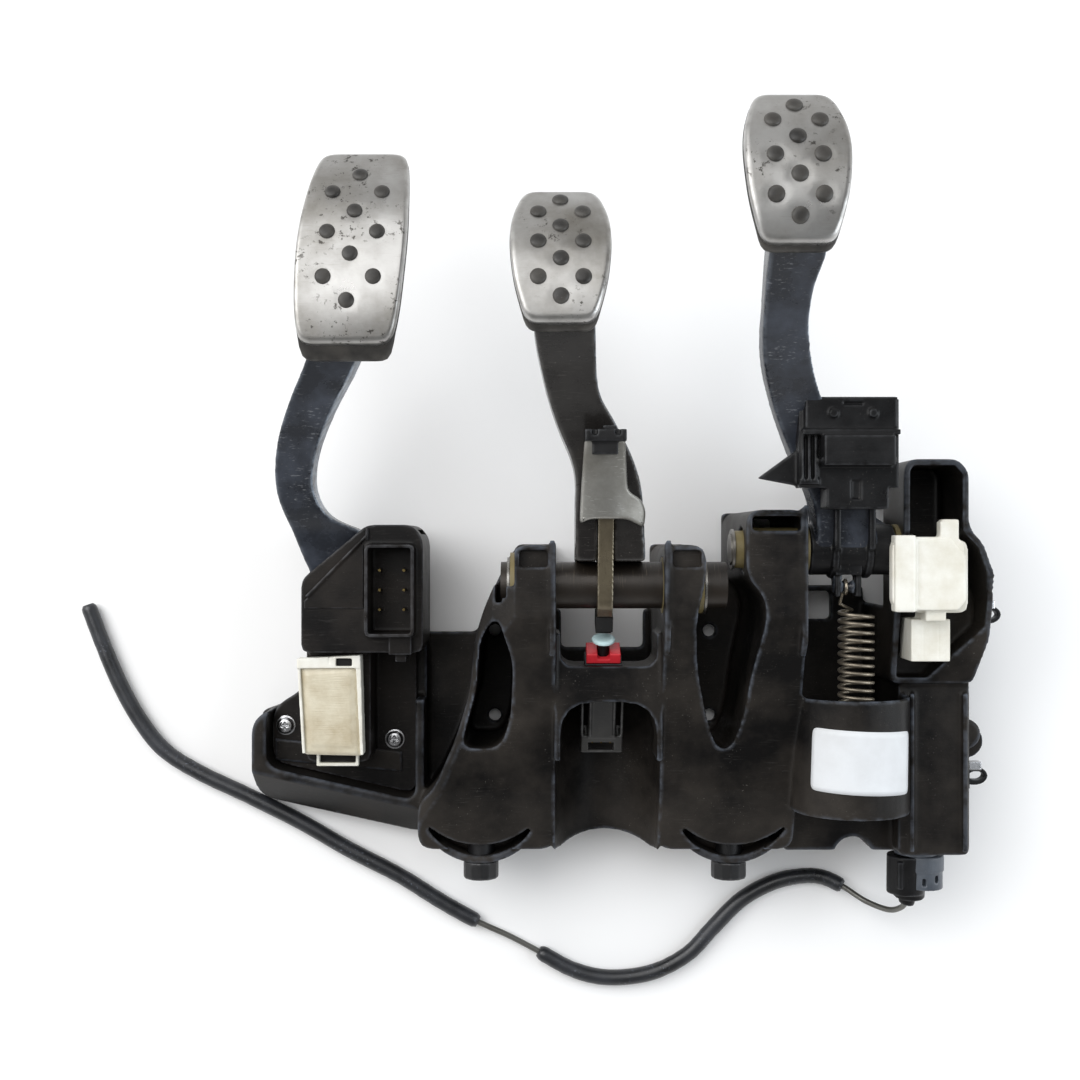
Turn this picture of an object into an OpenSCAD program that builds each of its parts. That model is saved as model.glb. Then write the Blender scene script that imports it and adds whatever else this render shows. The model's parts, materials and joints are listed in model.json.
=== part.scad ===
// Pedal box: accelerator, brake and clutch pedals on one moulded bracket, lying on its back face.
// X runs across the car, Y from the column lugs to the pads, Z from the back face to the driver.
// The origin is the centre of the four firewall stud holes, on the back face. Sizes are in mm.

/* [Bracket] */
// Wall thickness of the moulding
wall = 4; // [3:0.5:5]
// Thickness of the back flange
base_t = 8; // [6:1:10]
// Height of the tower fronts above the back face
tower_h = 125; // [122:1:130]
// Height of the accelerator tray's rim
tray_h = 45; // [42:1:52]
// Height of the accelerator tray's floor
tray_floor = 20; // [17:1:23]
// Lower edge of the bracket's middle
low_y = -112; // [-116:1:-108]
// Lower edge of the bracket's right side
right_low_y = -114; // [-120:1:-110]

/* [Firewall studs] */
// Stud spacing across the car
stud_pitch_x = 152; // [150:1:154]
// Stud spacing up the firewall
stud_pitch_y = 60; // [56:1:62]
// Stud hole diameter
stud_hole_d = 9; // [8.4:0.1:10]

/* [Column lugs] */
// Distance between the two captive nuts
lug_pitch = 168; // [160:1:172]
// Height of the captive nuts above the back face
lug_z = 49; // [47:1:52]
// Captive nut head diameter
nut_d = 24; // [20:1:26]
// Hole through the captive nuts
nut_hole_d = 8.4; // [7:0.1:10]

/* [Brake] */
// Clear width between the brake towers
brake_bay = 68; // [66:1:72]
// Width of each brake tower
brake_tower = 26; // [24:1:28]
// Brake pivot, towards the pads from the origin
brake_pivot_y = 65; // [63:1:67]
// Depth of the brake and clutch pivots below the tower fronts
pivot_depth = 25; // [23:1:27]
// Outside diameter of the brake pivot tube
brake_tube_d = 30; // [26:1:32]
// Wall of the brake pivot tube
brake_tube_wall = 2.5; // [2:0.25:5]
// Middle of the brake lever across the car
brake_lever_x = -3; // [-5:1:-1]
// Booster pin hole diameter in the brake lever
booster_pin_d = 10; // [8:0.5:12]

/* [Clutch] */
// Middle of the clutch bay
clutch_x = 154.5; // [153:0.5:156]
// Clear width of the clutch bay
clutch_bay = 61; // [59:1:64]
// Width of the clutch tower
clutch_tower = 39; // [37:1:41]
// Clutch pivot, towards the pads from the origin
clutch_pivot_y = 88; // [86:1:90]
// Clutch hub diameter
clutch_hub_d = 32; // [30:1:34]
// Clutch shaft diameter
clutch_shaft_d = 20; // [16:1:22]
// Radius of the clutch lever that works the master cylinder
lever_r = 50; // [48:0.5:52]
// Full travel of the clutch pedal in degrees
clutch_travel = 33; // [28:1:34]
// Middle of the master cylinder across the car
cyl_x = 211; // [210:0.5:213]
// Master cylinder diameter
cyl_d = 30; // [28:1:32]
// Master cylinder bore
cyl_bore = 19; // [16:0.5:20]
// Radius of the spring cup
cup_r = 38; // [36:0.5:40]
// Mean radius of the clutch spring
spring_r = 10.6; // [10:0.1:12]
// Wire diameter of the clutch spring
spring_wire = 2.4; // [2:0.1:3]

/* [Accelerator] */
// Left side of the accelerator module
accel_x0 = -201; // [-204:1:-199]
// Accelerator pivot, towards the pads from the origin
accel_pivot_y = 66; // [64:1:68]
// Height of the accelerator pivot
accel_pivot_z = 54; // [53:1:55]
// Height of the accelerator housing's front
accel_front_z = 80; // [80:1:84]
// Wall of the accelerator housing
accel_wall = 3; // [2.5:0.25:3.5]
// Accelerator pivot pin diameter
accel_pin_d = 8; // [6:0.5:9]

/* [Pads] */
// Width of the brake and clutch pads
pad_w = 59; // [56:1:64]
// Length of the brake and clutch pads, seen along their middle normal
pad_l = 91; // [86:1:96]
// Bow radius of the brake and clutch pads
pad_bow = 100; // [90:1:120]
// Width of the accelerator pad
accel_pad_w = 66; // [62:1:70]
// Length of the accelerator pad, seen along its middle normal
accel_pad_l = 129; // [124:1:132]
// Bow radius of the accelerator pad
accel_pad_bow = 150; // [130:1:180]
// Steel cover thickness
cover_t = 1.5; // [1:0.1:2]
// Rubber pad thickness
rubber_t = 7; // [5:0.5:8]
// Rubber nub diameter
nub_d = 10.2; // [9:0.1:11]
// Height of the nubs above the steel
nub_h = 2; // [1:0.25:3]

/* [Clutch pipe] */
// Outside diameter of the bare pipe
pipe_d = 4; // [3.5:0.25:5]
// Outside diameter of the rubber sleeves
sleeve_d = 11; // [10:0.5:12]

/* [Clearances] */
// Radial clearance of a running fit
run = 0.05; // [0.02:0.01:0.1]
// Gap between pieces that move past each other
gap = 0.4; // [0.3:0.05:0.6]
// Radial play of the clutch lever pin in the pushrod eye
eye_play = 1.5; // [1.3:0.1:2]

/* [Hidden] */
$fn = 48;
far = 400;

// Bracket lines across the car
stud_x = stud_pitch_x / 2;
stud_y = stud_pitch_y / 2;
ax1 = -brake_bay / 2;
ax0 = ax1 - brake_tower;
bx0 = brake_bay / 2;
bx1 = bx0 + brake_tower;
cx1 = clutch_x - clutch_bay / 2;
cx0 = cx1 - clutch_tower;
dx0 = clutch_x + clutch_bay / 2;
flank_x = -stud_x - 49;
right_x = cyl_x + cyl_d / 2 + 13;
brake_top = brake_pivot_y + 26;
clutch_top = clutch_pivot_y + 25;
wing_top = clutch_pivot_y + 57;
wing_floor = tower_h - 57;
pivot_z = tower_h - pivot_depth;
switch_top = pivot_z + clutch_hub_d / 2 + 1;
beam_top = 13;
beam_low = -10;
trough_z = 74;
cup_x = clutch_x + 3.5;
cup_z = tower_h - cup_r;
cup_top = -7;
cup_low = -82;

// Pivots and running parts
bush_t = 3;
brake_bush_r = brake_tube_d / 2 + bush_t;
clutch_bush_r = clutch_shaft_d / 2 + bush_t + 1;
tube_x0 = ax0 - 9;
tube_x1 = bx1 + 15;
half_travel = clutch_travel / 2;
pin_y = clutch_pivot_y + lever_r * sin(half_travel);
pin_z = pivot_z - lever_r * cos(half_travel);
rod_z = pivot_z - lever_r * (1 + cos(half_travel)) / 2;
lever_pin_r = 4;
eye_r = lever_pin_r + eye_play + 4.4;
stroke = 2 * lever_r * sin(half_travel);
piston_top = -4;
piston_l = 16;

// Brake light switch, along its own tilted axis
switch_tilt = 25;
switch_pos = [brake_lever_x, brake_pivot_y - 34, pivot_z - 5];
bumper_l = 18;

// Function that replaces each corner with a curve that starts the given distance before it
function unit(v) = v / norm(v);
function turn(p, i) = p[(i + len(p)) % len(p)];
function corner(a, b, c, r, n) = let (s = b + unit(a - b) * min(r, norm(a - b) * 0.48),
  e = b + unit(c - b) * min(r, norm(c - b) * 0.48))
  [for (k = [0:n]) let (t = k / n) (1 - t) * (1 - t) * s + 2 * t * (1 - t) * b + t * t * e];
function rounded(p, r, n = 4) = [for (i = [0:len(p) - 1])
  each corner(turn(p, i - 1), p[i], turn(p, i + 1), r, n)];
// Outline moved inwards by d; the points run anticlockwise
function left_of(a, b) = let (e = unit(b - a)) [-e[1], e[0]];
function inset(p, d) = [for (i = [0:len(p) - 1])
  let (m = left_of(turn(p, i - 1), p[i]), n = left_of(p[i], turn(p, i + 1)))
  p[i] + d * (m + n) / (1 + m * n)];
// Smooth curve through points
function through(a, b, c, d, t) = 0.5 * (2 * b + (c - a) * t + (2 * a - 5 * b + 4 * c - d) * t * t
  + (3 * b - a - 3 * c + d) * t * t * t);
function smooth(p, n = 4) = [for (i = [0:len(p) - 2]) each [for (k = [0:n - 1])
  through(p[max(i - 1, 0)], p[i], p[i + 1], p[min(i + 2, len(p) - 1)], k / n)], p[len(p) - 1]];
function flipped(p) = [for (i = [len(p) - 1:-1:0]) p[i]];
function arc(c, r, a0, a1, n = 12) = [for (k = [0:n]) let (a = a0 + (a1 - a0) * k / n)
  c + r * [cos(a), sin(a)]];
function moved(p, d) = [for (q = p) q + d];
function box(x0, y0, x1, y1) = [[x0, y0], [x1, y0], [x1, y1], [x0, y1]];

// Prisms along the three axes: z from [x, y] points, x from [y, z] points, y from [x, z] points
module prism_z(p, z0, z1) translate([0, 0, z0]) linear_extrude(z1 - z0) polygon(p);
module prism_x(p, x0, x1) translate([x0, 0, 0]) rotate([90, 0, 90]) linear_extrude(x1 - x0) polygon(p);
module prism_y(p, y0, y1) translate([0, y1, 0]) rotate([90, 0, 0]) linear_extrude(y1 - y0) polygon(p);
module rod_x(r, x0, x1, y, z) translate([x0, y, z]) rotate([0, 90, 0]) cylinder(r = r, h = x1 - x0);
module rod_y(r, y0, y1, x, z) translate([x, y0, z]) rotate([-90, 0, 0]) cylinder(r = r, h = y1 - y0);
module rod_z(r, z0, z1, x, y) translate([x, y, z0]) cylinder(r = r, h = z1 - z0);
module ring_x(r1, r0, x0, x1, y, z) difference() {
  rod_x(r1, x0, x1, y, z);
  rod_x(r0, x0 - 1, x1 + 1, y, z);
}

// Tube swept along a path; hollow when a bore radius is given
function way(p, i) = unit(p[min(i + 1, len(p) - 1)] - p[max(i - 1, 0)]);
function ring(c, t, r, n, up) = let (s = unit(cross(t, up)), u = cross(s, t))
  [for (j = [0:n - 1]) c + r * (cos(360 * j / n) * s + sin(360 * j / n) * u)];
function skin(m, n, at, flip) = [for (i = [0:m - 2]) for (j = [0:n - 1])
  let (a = at + i * n + j, b = at + i * n + (j + 1) % n)
  flip ? [a, b, b + n, a + n] : [a, a + n, b + n, b]];
module sweep(path, r, n = 8, up = [0, 0, 1], bore = 0) {
  m = len(path);
  outer = [for (i = [0:m - 1]) each ring(path[i], way(path, i), r, n, up)];
  inner = [for (i = [0:m - 1]) each ring(path[i], way(path, i), bore, n, up)];
  solid_ends = [[for (j = [0:n - 1]) j], [for (j = [n - 1:-1:0]) (m - 1) * n + j]];
  open_ends = [for (j = [0:n - 1]) let (k = (j + 1) % n, q = m * n) each [
    [j, k, q + k, q + j],
    [q - n + k, q - n + j, 2 * q - n + j, 2 * q - n + k]]];
  if (bore == 0)
    polyhedron(outer, concat(skin(m, n, 0, false), solid_ends), convexity = 8);
  else
    polyhedron(concat(outer, inner),
      concat(skin(m, n, 0, false), skin(m, n, m * n, true), open_ends), convexity = 8);
}

// Outline points of the bracket's bodies, anticlockwise
left_outline = [[ax1, low_y], [ax1, brake_top], [ax0, brake_top], [ax0 - 9, brake_top - 17],
  [ax0 - 20, brake_top - 41], [-stud_x - 10, 30], [-stud_x - 13, -3], [-stud_x - 23, -36],
  [-stud_x - 38, -70], [flank_x, -80], [flank_x, low_y]];
left_well = [[-stud_x - 19, -41], [-stud_x + 6, -41], [-stud_x + 13, -22], [-stud_x + 15, 16],
  [-stud_x + 5, 47], [-stud_x - 6, 32], [-stud_x - 9, -3], [-stud_x - 15, -24]];
right_outline = [[bx0, low_y], [cx1, low_y], [cx1, clutch_top], [cx0, clutch_top],
  [cx0, clutch_pivot_y - 17], [cx0 + 12, 58], [cx0 + 13, 42], [stud_x + 15, 10], [stud_x + 11, -20],
  [stud_x + 4, -41], [stud_x - 6, -41], [stud_x - 13, -20], [stud_x - 20, 12], [stud_x - 22, 45],
  [bx1, 68], [bx1, brake_top], [bx0, brake_top]];
side_profile = [[low_y, -20], [clutch_top, -20], [clutch_top, tower_h], [45, tower_h],
  [0, tower_h - 19], [-70, tower_h - 39], [low_y, tower_h - 57]];
left_front = [[flank_x, -20], [ax1, -20], [ax1, tower_h], [ax0, tower_h], [ax0 - 14, tower_h - 7],
  [ax0 - 29, tower_h - 25], [ax0 - 51, tower_h - 41], [flank_x, tower_h - 50]];
tray_outline = [[-241, -86], [flank_x + 2, low_y], [flank_x + 2, 29], [-200, 29], [-208, -15],
  [-241, -27]];
tray_recess = [[-231, -61], [flank_x - 4, -84], [flank_x - 4, 30], [-207, 30], [-208, -8],
  [-231, -22]];
tray_edge = tray_outline[1] - tray_outline[0];
tray_slope = 36;
wing_outline = [[dx0, 0], [right_x, 0], [right_x + 9, 30], [right_x + 9, 58], [right_x - 3, 92],
  [right_x - 13, 102], [right_x - 13, wing_top - 8], [right_x - 20, wing_top], [dx0 + 4, wing_top],
  [dx0, wing_top - 6]];
wing_profile = [[-1, -20], [wing_top + 1, -20], [wing_top + 1, tower_h - 5],
  [clutch_pivot_y + 12, tower_h - 5], [clutch_pivot_y + 9, switch_top],
  [clutch_pivot_y - 16, switch_top], [clutch_pivot_y - 28, switch_top - 16], [30, 92], [-1, 84]];
cup_profile = concat([[cup_x - cup_r, -20], [cup_x + cup_r, -20]],
  arc([cup_x, cup_z], cup_r, 0, 180, 24));

// One body of the bracket, hollow from the back
module left_body(d) intersection() {
  prism_z(d == 0 ? rounded(left_outline, 10) : inset(left_outline, d), d == 0 ? 0 : -1, far);
  prism_x(inset(side_profile, d), -far, far);
  prism_y(inset(left_front, d), -far, far);
}
module right_body(d) intersection() {
  prism_z(d == 0 ? rounded(right_outline, 10) : inset(right_outline, d), d == 0 ? 0 : -1, far);
  prism_x(inset(side_profile, d), -far, far);
}

// Solids that make up the bracket
sill = 5;
sill_top = brake_pivot_y - 20;
bay_sill = [[bx0, sill_top], [bx0 - sill, sill_top], [bx0 - sill, beam_top + sill],
  [ax1 + sill, beam_top + sill], [ax1 + sill, sill_top], [ax1, sill_top]];
// Floor of the clutch bay, with a window that shows what is behind
bay_top = 62;
bay_window = box(cx1 + 16, bay_top - 24, cx1 + 38, bay_top - 4);
flange_outline = [tray_outline[0], [flank_x, low_y], [cx1, low_y], [cx1, right_low_y],
  [right_x, right_low_y], [right_x, 0], [dx0, 0], [dx0, bay_top], [cx1, bay_top], [cx1, clutch_top],
  [cx0, clutch_top], [cx0, 60], [bx1, 60], [bx1, brake_top], [bx0, brake_top], each bay_sill,
  [ax1, brake_top], [ax0, brake_top], [ax0 - 9, brake_top - 17],
  [ax0 - 20, brake_top - 41], [-stud_x - 13, 29], tray_outline[3], tray_outline[4], tray_outline[5]];
rib_t = 3;
module ribs() for (y = [-78, -50, 52])
  prism_z(box(flank_x, y, cx1, y + rib_t), 0, far);
pocket_r = brake_bush_r + 4;
module tube_pocket(d) {
  rod_x(pocket_r + d, tube_x0 - 3 - d, ax0, brake_pivot_y, pivot_z);
  prism_z(box(tube_x0 - 3 - d, brake_pivot_y, ax0, far), pivot_z - pocket_r - d, far);
}
module brake_bodies() {
  difference() {
    left_body(0);
    left_body(wall);
  }
  intersection() {
    left_body(0);
    prism_z(inset(left_well, -wall), 0, far);
  }
  intersection() {
    left_body(0);
    tube_pocket(wall);
  }
  difference() {
    right_body(0);
    right_body(wall);
  }
  intersection() {
    ribs();
    union() {
      left_body(0);
      right_body(0);
    }
  }
}
module cheek_rib(x, top)
  prism_x([[20, tower_h - 8], [top, tower_h - 8], [top + 3, tower_h + 3], [top - 6, tower_h + 1],
    [30, tower_h]], x, x + wall);
module cheek_ribs() {
  cheek_rib(ax1 - wall, brake_top);
  cheek_rib(bx0, brake_top);
  cheek_rib(cx1 - wall, clutch_top);
}
cylinder_bay = box(cup_x + cup_r, right_low_y + 10, right_x - wall, -8);
panel_bay = box(cx1, right_low_y + wall, cup_x + cup_r - wall, cup_low - 3);
module flange() difference() {
  prism_z(rounded(flange_outline, 3, 2), 0, base_t);
  difference() {
    prism_z(inset(left_outline, wall), -1, far);
    prism_z(inset(left_well, -wall), -2, far);
  }
  for (p = [inset(right_outline, wall), inset(tray_outline, wall), cylinder_bay, panel_bay,
      bay_window])
    prism_z(p, -1, far);
}
module tray() {
  difference() {
    prism_z(rounded(tray_outline, 12), 0, tray_h);
    prism_z(rounded(tray_recess, 10), tray_floor, far);
    prism_z(box(-far, -15, far, far), tray_floor, far);
    prism_z(inset(tray_outline, wall), -1, tray_floor - wall);
    translate([tray_outline[0][0], tray_outline[0][1], tray_floor - wall])
      rotate([0, 0, atan2(tray_edge[1], tray_edge[0])]) rotate([-tray_slope, 0, 0])
      translate([-60, -80, 0]) cube([260, 80, 80]);
  }
  for (p = screw_places)
    rod_z(6, 0, tray_floor, p[0], p[1]);
  intersection() {
    prism_z(inset(tray_outline, 1), 0, tray_floor);
    for (p = [box(-186, -far, -186 + rib_t, far), box(-far, -26, far, -26 + rib_t)])
      prism_z(p, 0, far);
  }
}
module trough() intersection() {
  difference() {
    rod_y(brake_bay / 2 + wall, low_y, beam_low - 4, 0, trough_z);
    rod_y(brake_bay / 2, low_y - 1, far, 0, trough_z);
  }
  prism_z(box(ax1 - 1, low_y, bx0 + 1, 0), 0, trough_z);
}
beam_z0 = 62;
beam_z1 = tower_h - 21;
module beam() difference() {
  prism_z(box(ax1 - 1, -48, bx0 + 1, 34), beam_z0, beam_z1);
  prism_z(rounded(box(ax1 + 3, beam_top, bx0 - 3, 90), 10), 0, far);
  prism_z(rounded(box(ax1 + 3, -120, bx0 - 3, beam_low), 22), 0, far);
}
lug_r = 44;
lug_out = 11;
module lugs() for (s = [-1, 1]) difference() {
  intersection() {
    rod_z(lug_r, lug_z - 13, lug_z + 13, s * lug_pitch / 2, low_y + lug_r - lug_out);
    prism_z(box(-far, -far, far, low_y + wall), 0, far);
  }
  intersection() {
    rod_z(lug_r - 5, lug_z - 6, far, s * lug_pitch / 2, low_y + lug_r - lug_out);
    prism_z(box(-far, -far, far, low_y), 0, far);
  }
}
// Curved gap between the body's lower edge and each lug's ring
slot_arc = 48;
slot_gap = 3;
module lug_slot(s) difference() {
  rod_z(lug_r - 5, lug_z - 6, far, s * lug_pitch / 2, low_y + lug_r - lug_out);
  rod_z(slot_arc, 0, far, s * lug_pitch / 2, low_y + slot_arc + slot_gap);
}
module cup() difference() {
  prism_y(cup_profile, cup_low, cup_top);
  prism_y(inset(cup_profile, bush_t), cup_low + bush_t, far);
  prism_z(box(-far, -far, far, far), -far, 0);
}
right_h = tower_h - 47;
module right_block() {
  difference() {
    prism_z(rounded(box(cup_x + cup_r - wall, right_low_y, right_x, wall), 5), 0, right_h);
    prism_z(cylinder_bay, -1, right_h - wall);
  }
  difference() {
    prism_z(box(cx1 - wall, right_low_y, cup_x + cup_r, cup_low + 1), 0, 62);
    prism_z(panel_bay, -1, 62 - wall);
    rod_z(13, -1, far, cup_x + 8, right_low_y - 4);
  }
  for (x = [cup_x + cup_r + 3, right_x - 5])
    prism_z(box(x, right_low_y + 3, x + rib_t, cup_top), right_h - 2 * wall, right_h + rib_t);
  intersection() {
    rod_z(10, 0, 70, right_x, -35);
    prism_z(box(right_x - wall, -60, far, 0), 0, far);
  }
}
// Pocket of the wing, with a slanting lower wall
wing_pocket = concat([[dx0 + wall, wall], [dx0 + 24, wall], [right_x + 9 - wall, 38]],
  [for (i = [3:len(wing_outline) - 1]) inset(wing_outline, wall)[i]]);
module wing() difference() {
  intersection() {
    prism_z(rounded(wing_outline, 5), 0, far);
    prism_x(wing_profile, 0, far);
  }
  prism_z(wing_pocket, wing_floor, far);
  prism_z(inset(wing_outline, wall), -1, wing_floor - wall);
  prism_z(box(dx0 - 1, 50, dx0 + wall + 1, clutch_pivot_y + 34), -1, wing_floor - wall);
}
spring_z = pivot_z + 5;
hook_y = clutch_pivot_y - 24;
anchor_y = -48;
anchor_r = 2.5;
anchor_half = sqrt(pow(cup_r - bush_t / 2, 2) - pow(spring_z - cup_z, 2));
module spring_anchor() rod_x(anchor_r, cup_x - anchor_half, cup_x + anchor_half, anchor_y, spring_z);
module on_switch() translate(switch_pos) rotate([switch_tilt - 90, 0, 0]) children();
module block(w, d, z0, z1) translate([-w / 2, -d / 2, z0]) cube([w, d, z1 - z0]);
switch_w = 18;
switch_d = 15;

module bracket() color("#26241f") difference() {
  union() {
    flange();
    brake_bodies();
    cheek_ribs();
    tray();
    trough();
    beam();
    lugs();
    cup();
    right_block();
    wing();
    spring_anchor();
  }
  prism_z(rounded(left_well, 9), base_t, far);
  for (x = [-stud_x, stud_x], y = [-stud_y, stud_y])
    rod_z(stud_hole_d / 2, -1, base_t + 1, x, y);
  rod_z(60, -1, far, 0, low_y - 52);
  for (s = [-1, 1]) lug_slot(s);
  tube_pocket(0);
  rod_x(brake_bush_r, ax0 - 1, bx1 + 1, brake_pivot_y, pivot_z);
  rod_x(clutch_bush_r, cx0 - 1, dx0 + wall + 1, clutch_pivot_y, pivot_z);
  for (x = [ax0 + 3, bx0 + wall + 1])
    prism_z(box(x, brake_top - 14, x + brake_tower - wall - 4, brake_top - 3.5), tower_h - 6, far);
  prism_z(box(cx0 + 4, clutch_top - 13, cx1 - wall - 1, clutch_top - 4), tower_h - 8, far);
  for (s = [-1, 1])
    rod_y(9, -far, low_y + 3, s * lug_pitch / 2, lug_z);
  rod_y(cyl_d / 2, right_low_y - 1, 12, cyl_x, rod_z);
  for (p = screw_places)
    rod_z(screw_r, 6, far, p[0], p[1]);
  on_switch() block(switch_w, switch_d, socket_low, 0);
  on_switch() block(switch_w + 3, switch_d + 1, lock_low, 1);
  on_switch() block(socket_w + 1, socket_d + 1, socket_low - 1, socket_top + 1);
}

nut_low = low_y - lug_out - 12;
module column_nuts() color("#2b2b2b") for (s = [-1, 1]) difference() {
  union() {
    rod_y(9, low_y - lug_out, low_y + 3, s * lug_pitch / 2, lug_z);
    translate([s * lug_pitch / 2, nut_low, lug_z]) rotate([-90, 0, 0])
      cylinder(d = nut_d, h = 12, $fn = 12);
  }
  rod_y(nut_hole_d / 2, nut_low - 1, low_y + 4, s * lug_pitch / 2, lug_z);
}
clip_places = [[right_x + 9, 44], [right_x, -64]];
clip_z = 58;
module side_clips() color("#1c1c1c") for (p = clip_places) difference() {
  prism_z(box(p[0], p[1] - 9, p[0] + 9, p[1] + 9), clip_z - 12, clip_z + 12);
  prism_z(box(p[0] + 3, p[1] - 5, p[0] + 10, p[1] + 5), clip_z - 13, clip_z + 13);
}
module side_clip_pins() color("#c8c8c8") for (p = clip_places) {
  rod_x(4, p[0] + 3, p[0] + 12, p[1], clip_z);
  rod_x(5, p[0] + 12, p[0] + 15, p[1], clip_z);
}
module label() color("#f2f2f2") intersection() {
  difference() {
    rod_y(cup_r + 0.5, -66, -26, cup_x, cup_z);
    rod_y(cup_r + 0.15, -67, -25, cup_x, cup_z);
  }
  prism_y(box(cup_x - 30, cup_z + 8, cup_x + 33, far), -67, -25);
}

// Brake pivot and pedal
flange_t = 3;
module brake_bushes() color("#cfc28a") difference() {
  union() {
    rod_x(brake_bush_r + 3, ax0 - flange_t, ax0, brake_pivot_y, pivot_z);
    rod_x(brake_bush_r, ax0, ax1, brake_pivot_y, pivot_z);
    rod_x(brake_bush_r, bx0, bx1, brake_pivot_y, pivot_z);
  }
  rod_x(brake_tube_d / 2 + run, -far, far, brake_pivot_y, pivot_z);
}
module brake_tube() color("#4d443a")
  ring_x(brake_tube_d / 2, brake_tube_d / 2 - brake_tube_wall, tube_x0, tube_x1, brake_pivot_y, pivot_z);
clip_t = 1.5;
module brake_circlips() color("#8d8d8d") for (x = [ax0 - flange_t - gap - clip_t, bx1 + gap])
  ring_x(brake_tube_d / 2 + 3, brake_tube_d / 2, x, x + clip_t, brake_pivot_y, pivot_z);
// Brake lever side view: a foot at the switch, round the tube, a tail in the arm
foot = [for (w = [8, -8]) [switch_pos[1], switch_pos[2]]
  + bumper_l * [cos(switch_tilt), sin(switch_tilt)] + w * [-sin(switch_tilt), cos(switch_tilt)]];
brake_axis = [brake_pivot_y, pivot_z];
lever_ring = brake_tube_d / 2 + 7;
lever_side = concat([foot[0]], moved([[-13, lever_ring], [1, lever_ring + 2], [25, 28], [65, 40], [81, 38],
  [81, 22], [47, 8], [23, -16], [0, 1 - lever_ring], [-12, 7 - lever_ring]], brake_axis), [foot[1]]);
booster_y = brake_pivot_y + 53;
booster_z = pivot_z + 19;
plate_t = 3;
plate_step = 3.3;
module brake_lever() color("#6b5f4c") for (k = [-1:1]) difference() {
  prism_x(rounded(lever_side, 4), brake_lever_x + k * plate_step - plate_t / 2,
    brake_lever_x + k * plate_step + plate_t / 2);
  rod_x(brake_tube_d / 2, -far, far, brake_pivot_y, pivot_z);
  rod_x(booster_pin_d / 2, -far, far, booster_y, booster_z);
}
lever_w = 2 * plate_step + plate_t;
module brake_bumper() color("#1d1d1d") difference() {
  on_switch() block(lever_w, 13, gap, bumper_l);
  prism_x(rounded(lever_side, 4), -far, far);
}

// A pedal pad: local x across, y along, z out of the pad's middle
brake_pad = [-32, brake_pivot_y + 201, pivot_z + 91];
brake_tilt = 24;
clutch_arm_x = clutch_x + 0.5;
clutch_pad = [clutch_arm_x - 58, clutch_pivot_y + 215, pivot_z + 139];
clutch_tilt = 15;
accel_pad = [accel_x0 + 44, accel_pivot_y + 212, accel_pivot_z + 106];
accel_tilt = 17;
accel_slant = 0.06;
module at_pad(p, tilt) translate(p) rotate([-tilt, 0, 0]) children();
module at_nub(u, v, bow) translate([u, 0, -bow]) rotate([-v / bow * 180 / PI, 0, 0])
  translate([0, 0, bow]) children();
module bowed(p, bow, top, low) intersection() {
  prism_z(p, -60, 20);
  difference() {
    rod_x(bow - top, -60, 60, 0, -bow);
    rod_x(bow - low, -61, 61, 0, -bow);
  }
}
// Half outline of a pad from its lower to its upper end, as shares of width and length
function pad_outline(w, l, half) = let (r = smooth([for (q = half) [q[0] * w / 2, q[1] * l / 2]], 2),
  m = [for (q = r) [-q[0], q[1]]]) concat(r, flipped(m));
foot_half = [[0.58, -1], [0.69, -0.95], [0.8, -0.76], [0.93, -0.42], [1, 0.05], [0.97, 0.4], [0.86, 0.7],
  [0.75, 0.9], [0.6, 1]];
accel_half = [[0.77, -1], [0.86, -0.95], [0.95, -0.7], [0.99, -0.35], [1, 0], [0.96, 0.35], [0.89, 0.7],
  [0.81, 0.93], [0.7, 1]];
foot_outline = pad_outline(pad_w, pad_l, foot_half);
function slanted(p) = [for (q = p) [q[0] + accel_slant * q[1], q[1]]];
accel_outline = slanted(pad_outline(accel_pad_w, accel_pad_l, accel_half));
// Nub places: four down the middle, three on each side between them
function nubs(step, side, shift) = concat([for (k = [-3:2:3]) [0, k * step + shift]],
  [for (k = [-2:2:2], s = [-side, side]) [s, k * step + shift]]);
foot_nubs = nubs(11.5, 13, 1.2);
accel_nubs = slanted(nubs(14.4, 15, 1.5));
nub_gap = 0.2;
module pad_cover(p, bow, places) difference() {
  bowed(p, bow, 0, cover_t);
  for (q = places) at_nub(q[0], q[1], bow) rod_z(nub_d / 2 + nub_gap, -10, 10, 0, 0);
}
module pad_rubber(p, bow, places) {
  bowed(p, bow, cover_t, cover_t + rubber_t);
  for (q = places) at_nub(q[0], q[1], bow) rod_z(nub_d / 2, -cover_t - 2, nub_h, 0, 0);
}
// Points just inside a pad's rubber, for the arms to end on, and the room that the pad needs
function pad_seat(p, tilt, bow, t0, t1) = let (r = bow - cover_t - rubber_t + 1)
  [for (k = [0:6]) let (t = t0 + (t1 - t0) * k / 6)
  [p[1] - bow * sin(tilt) + r * sin(t), p[2] - bow * cos(tilt) + r * cos(t)]];
module pad_room(bow) bowed(box(-60, -70, 60, 70), bow, -20, cover_t + rubber_t);
module brake_pad_rubber() color("#2a2a2a") at_pad(brake_pad, brake_tilt)
  pad_rubber(foot_outline, pad_bow, foot_nubs);
module brake_pad_cover() color("#a8a298") at_pad(brake_pad, brake_tilt)
  pad_cover(foot_outline, pad_bow, foot_nubs);
module clutch_pad_rubber() color("#2a2a2a") at_pad(clutch_pad, clutch_tilt)
  pad_rubber(foot_outline, pad_bow, foot_nubs);
module clutch_pad_cover() color("#a8a298") at_pad(clutch_pad, clutch_tilt)
  pad_cover(foot_outline, pad_bow, foot_nubs);
module accel_pad_rubber() color("#2a2a2a") at_pad(accel_pad, accel_tilt)
  pad_rubber(accel_outline, accel_pad_bow, accel_nubs);
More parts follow.
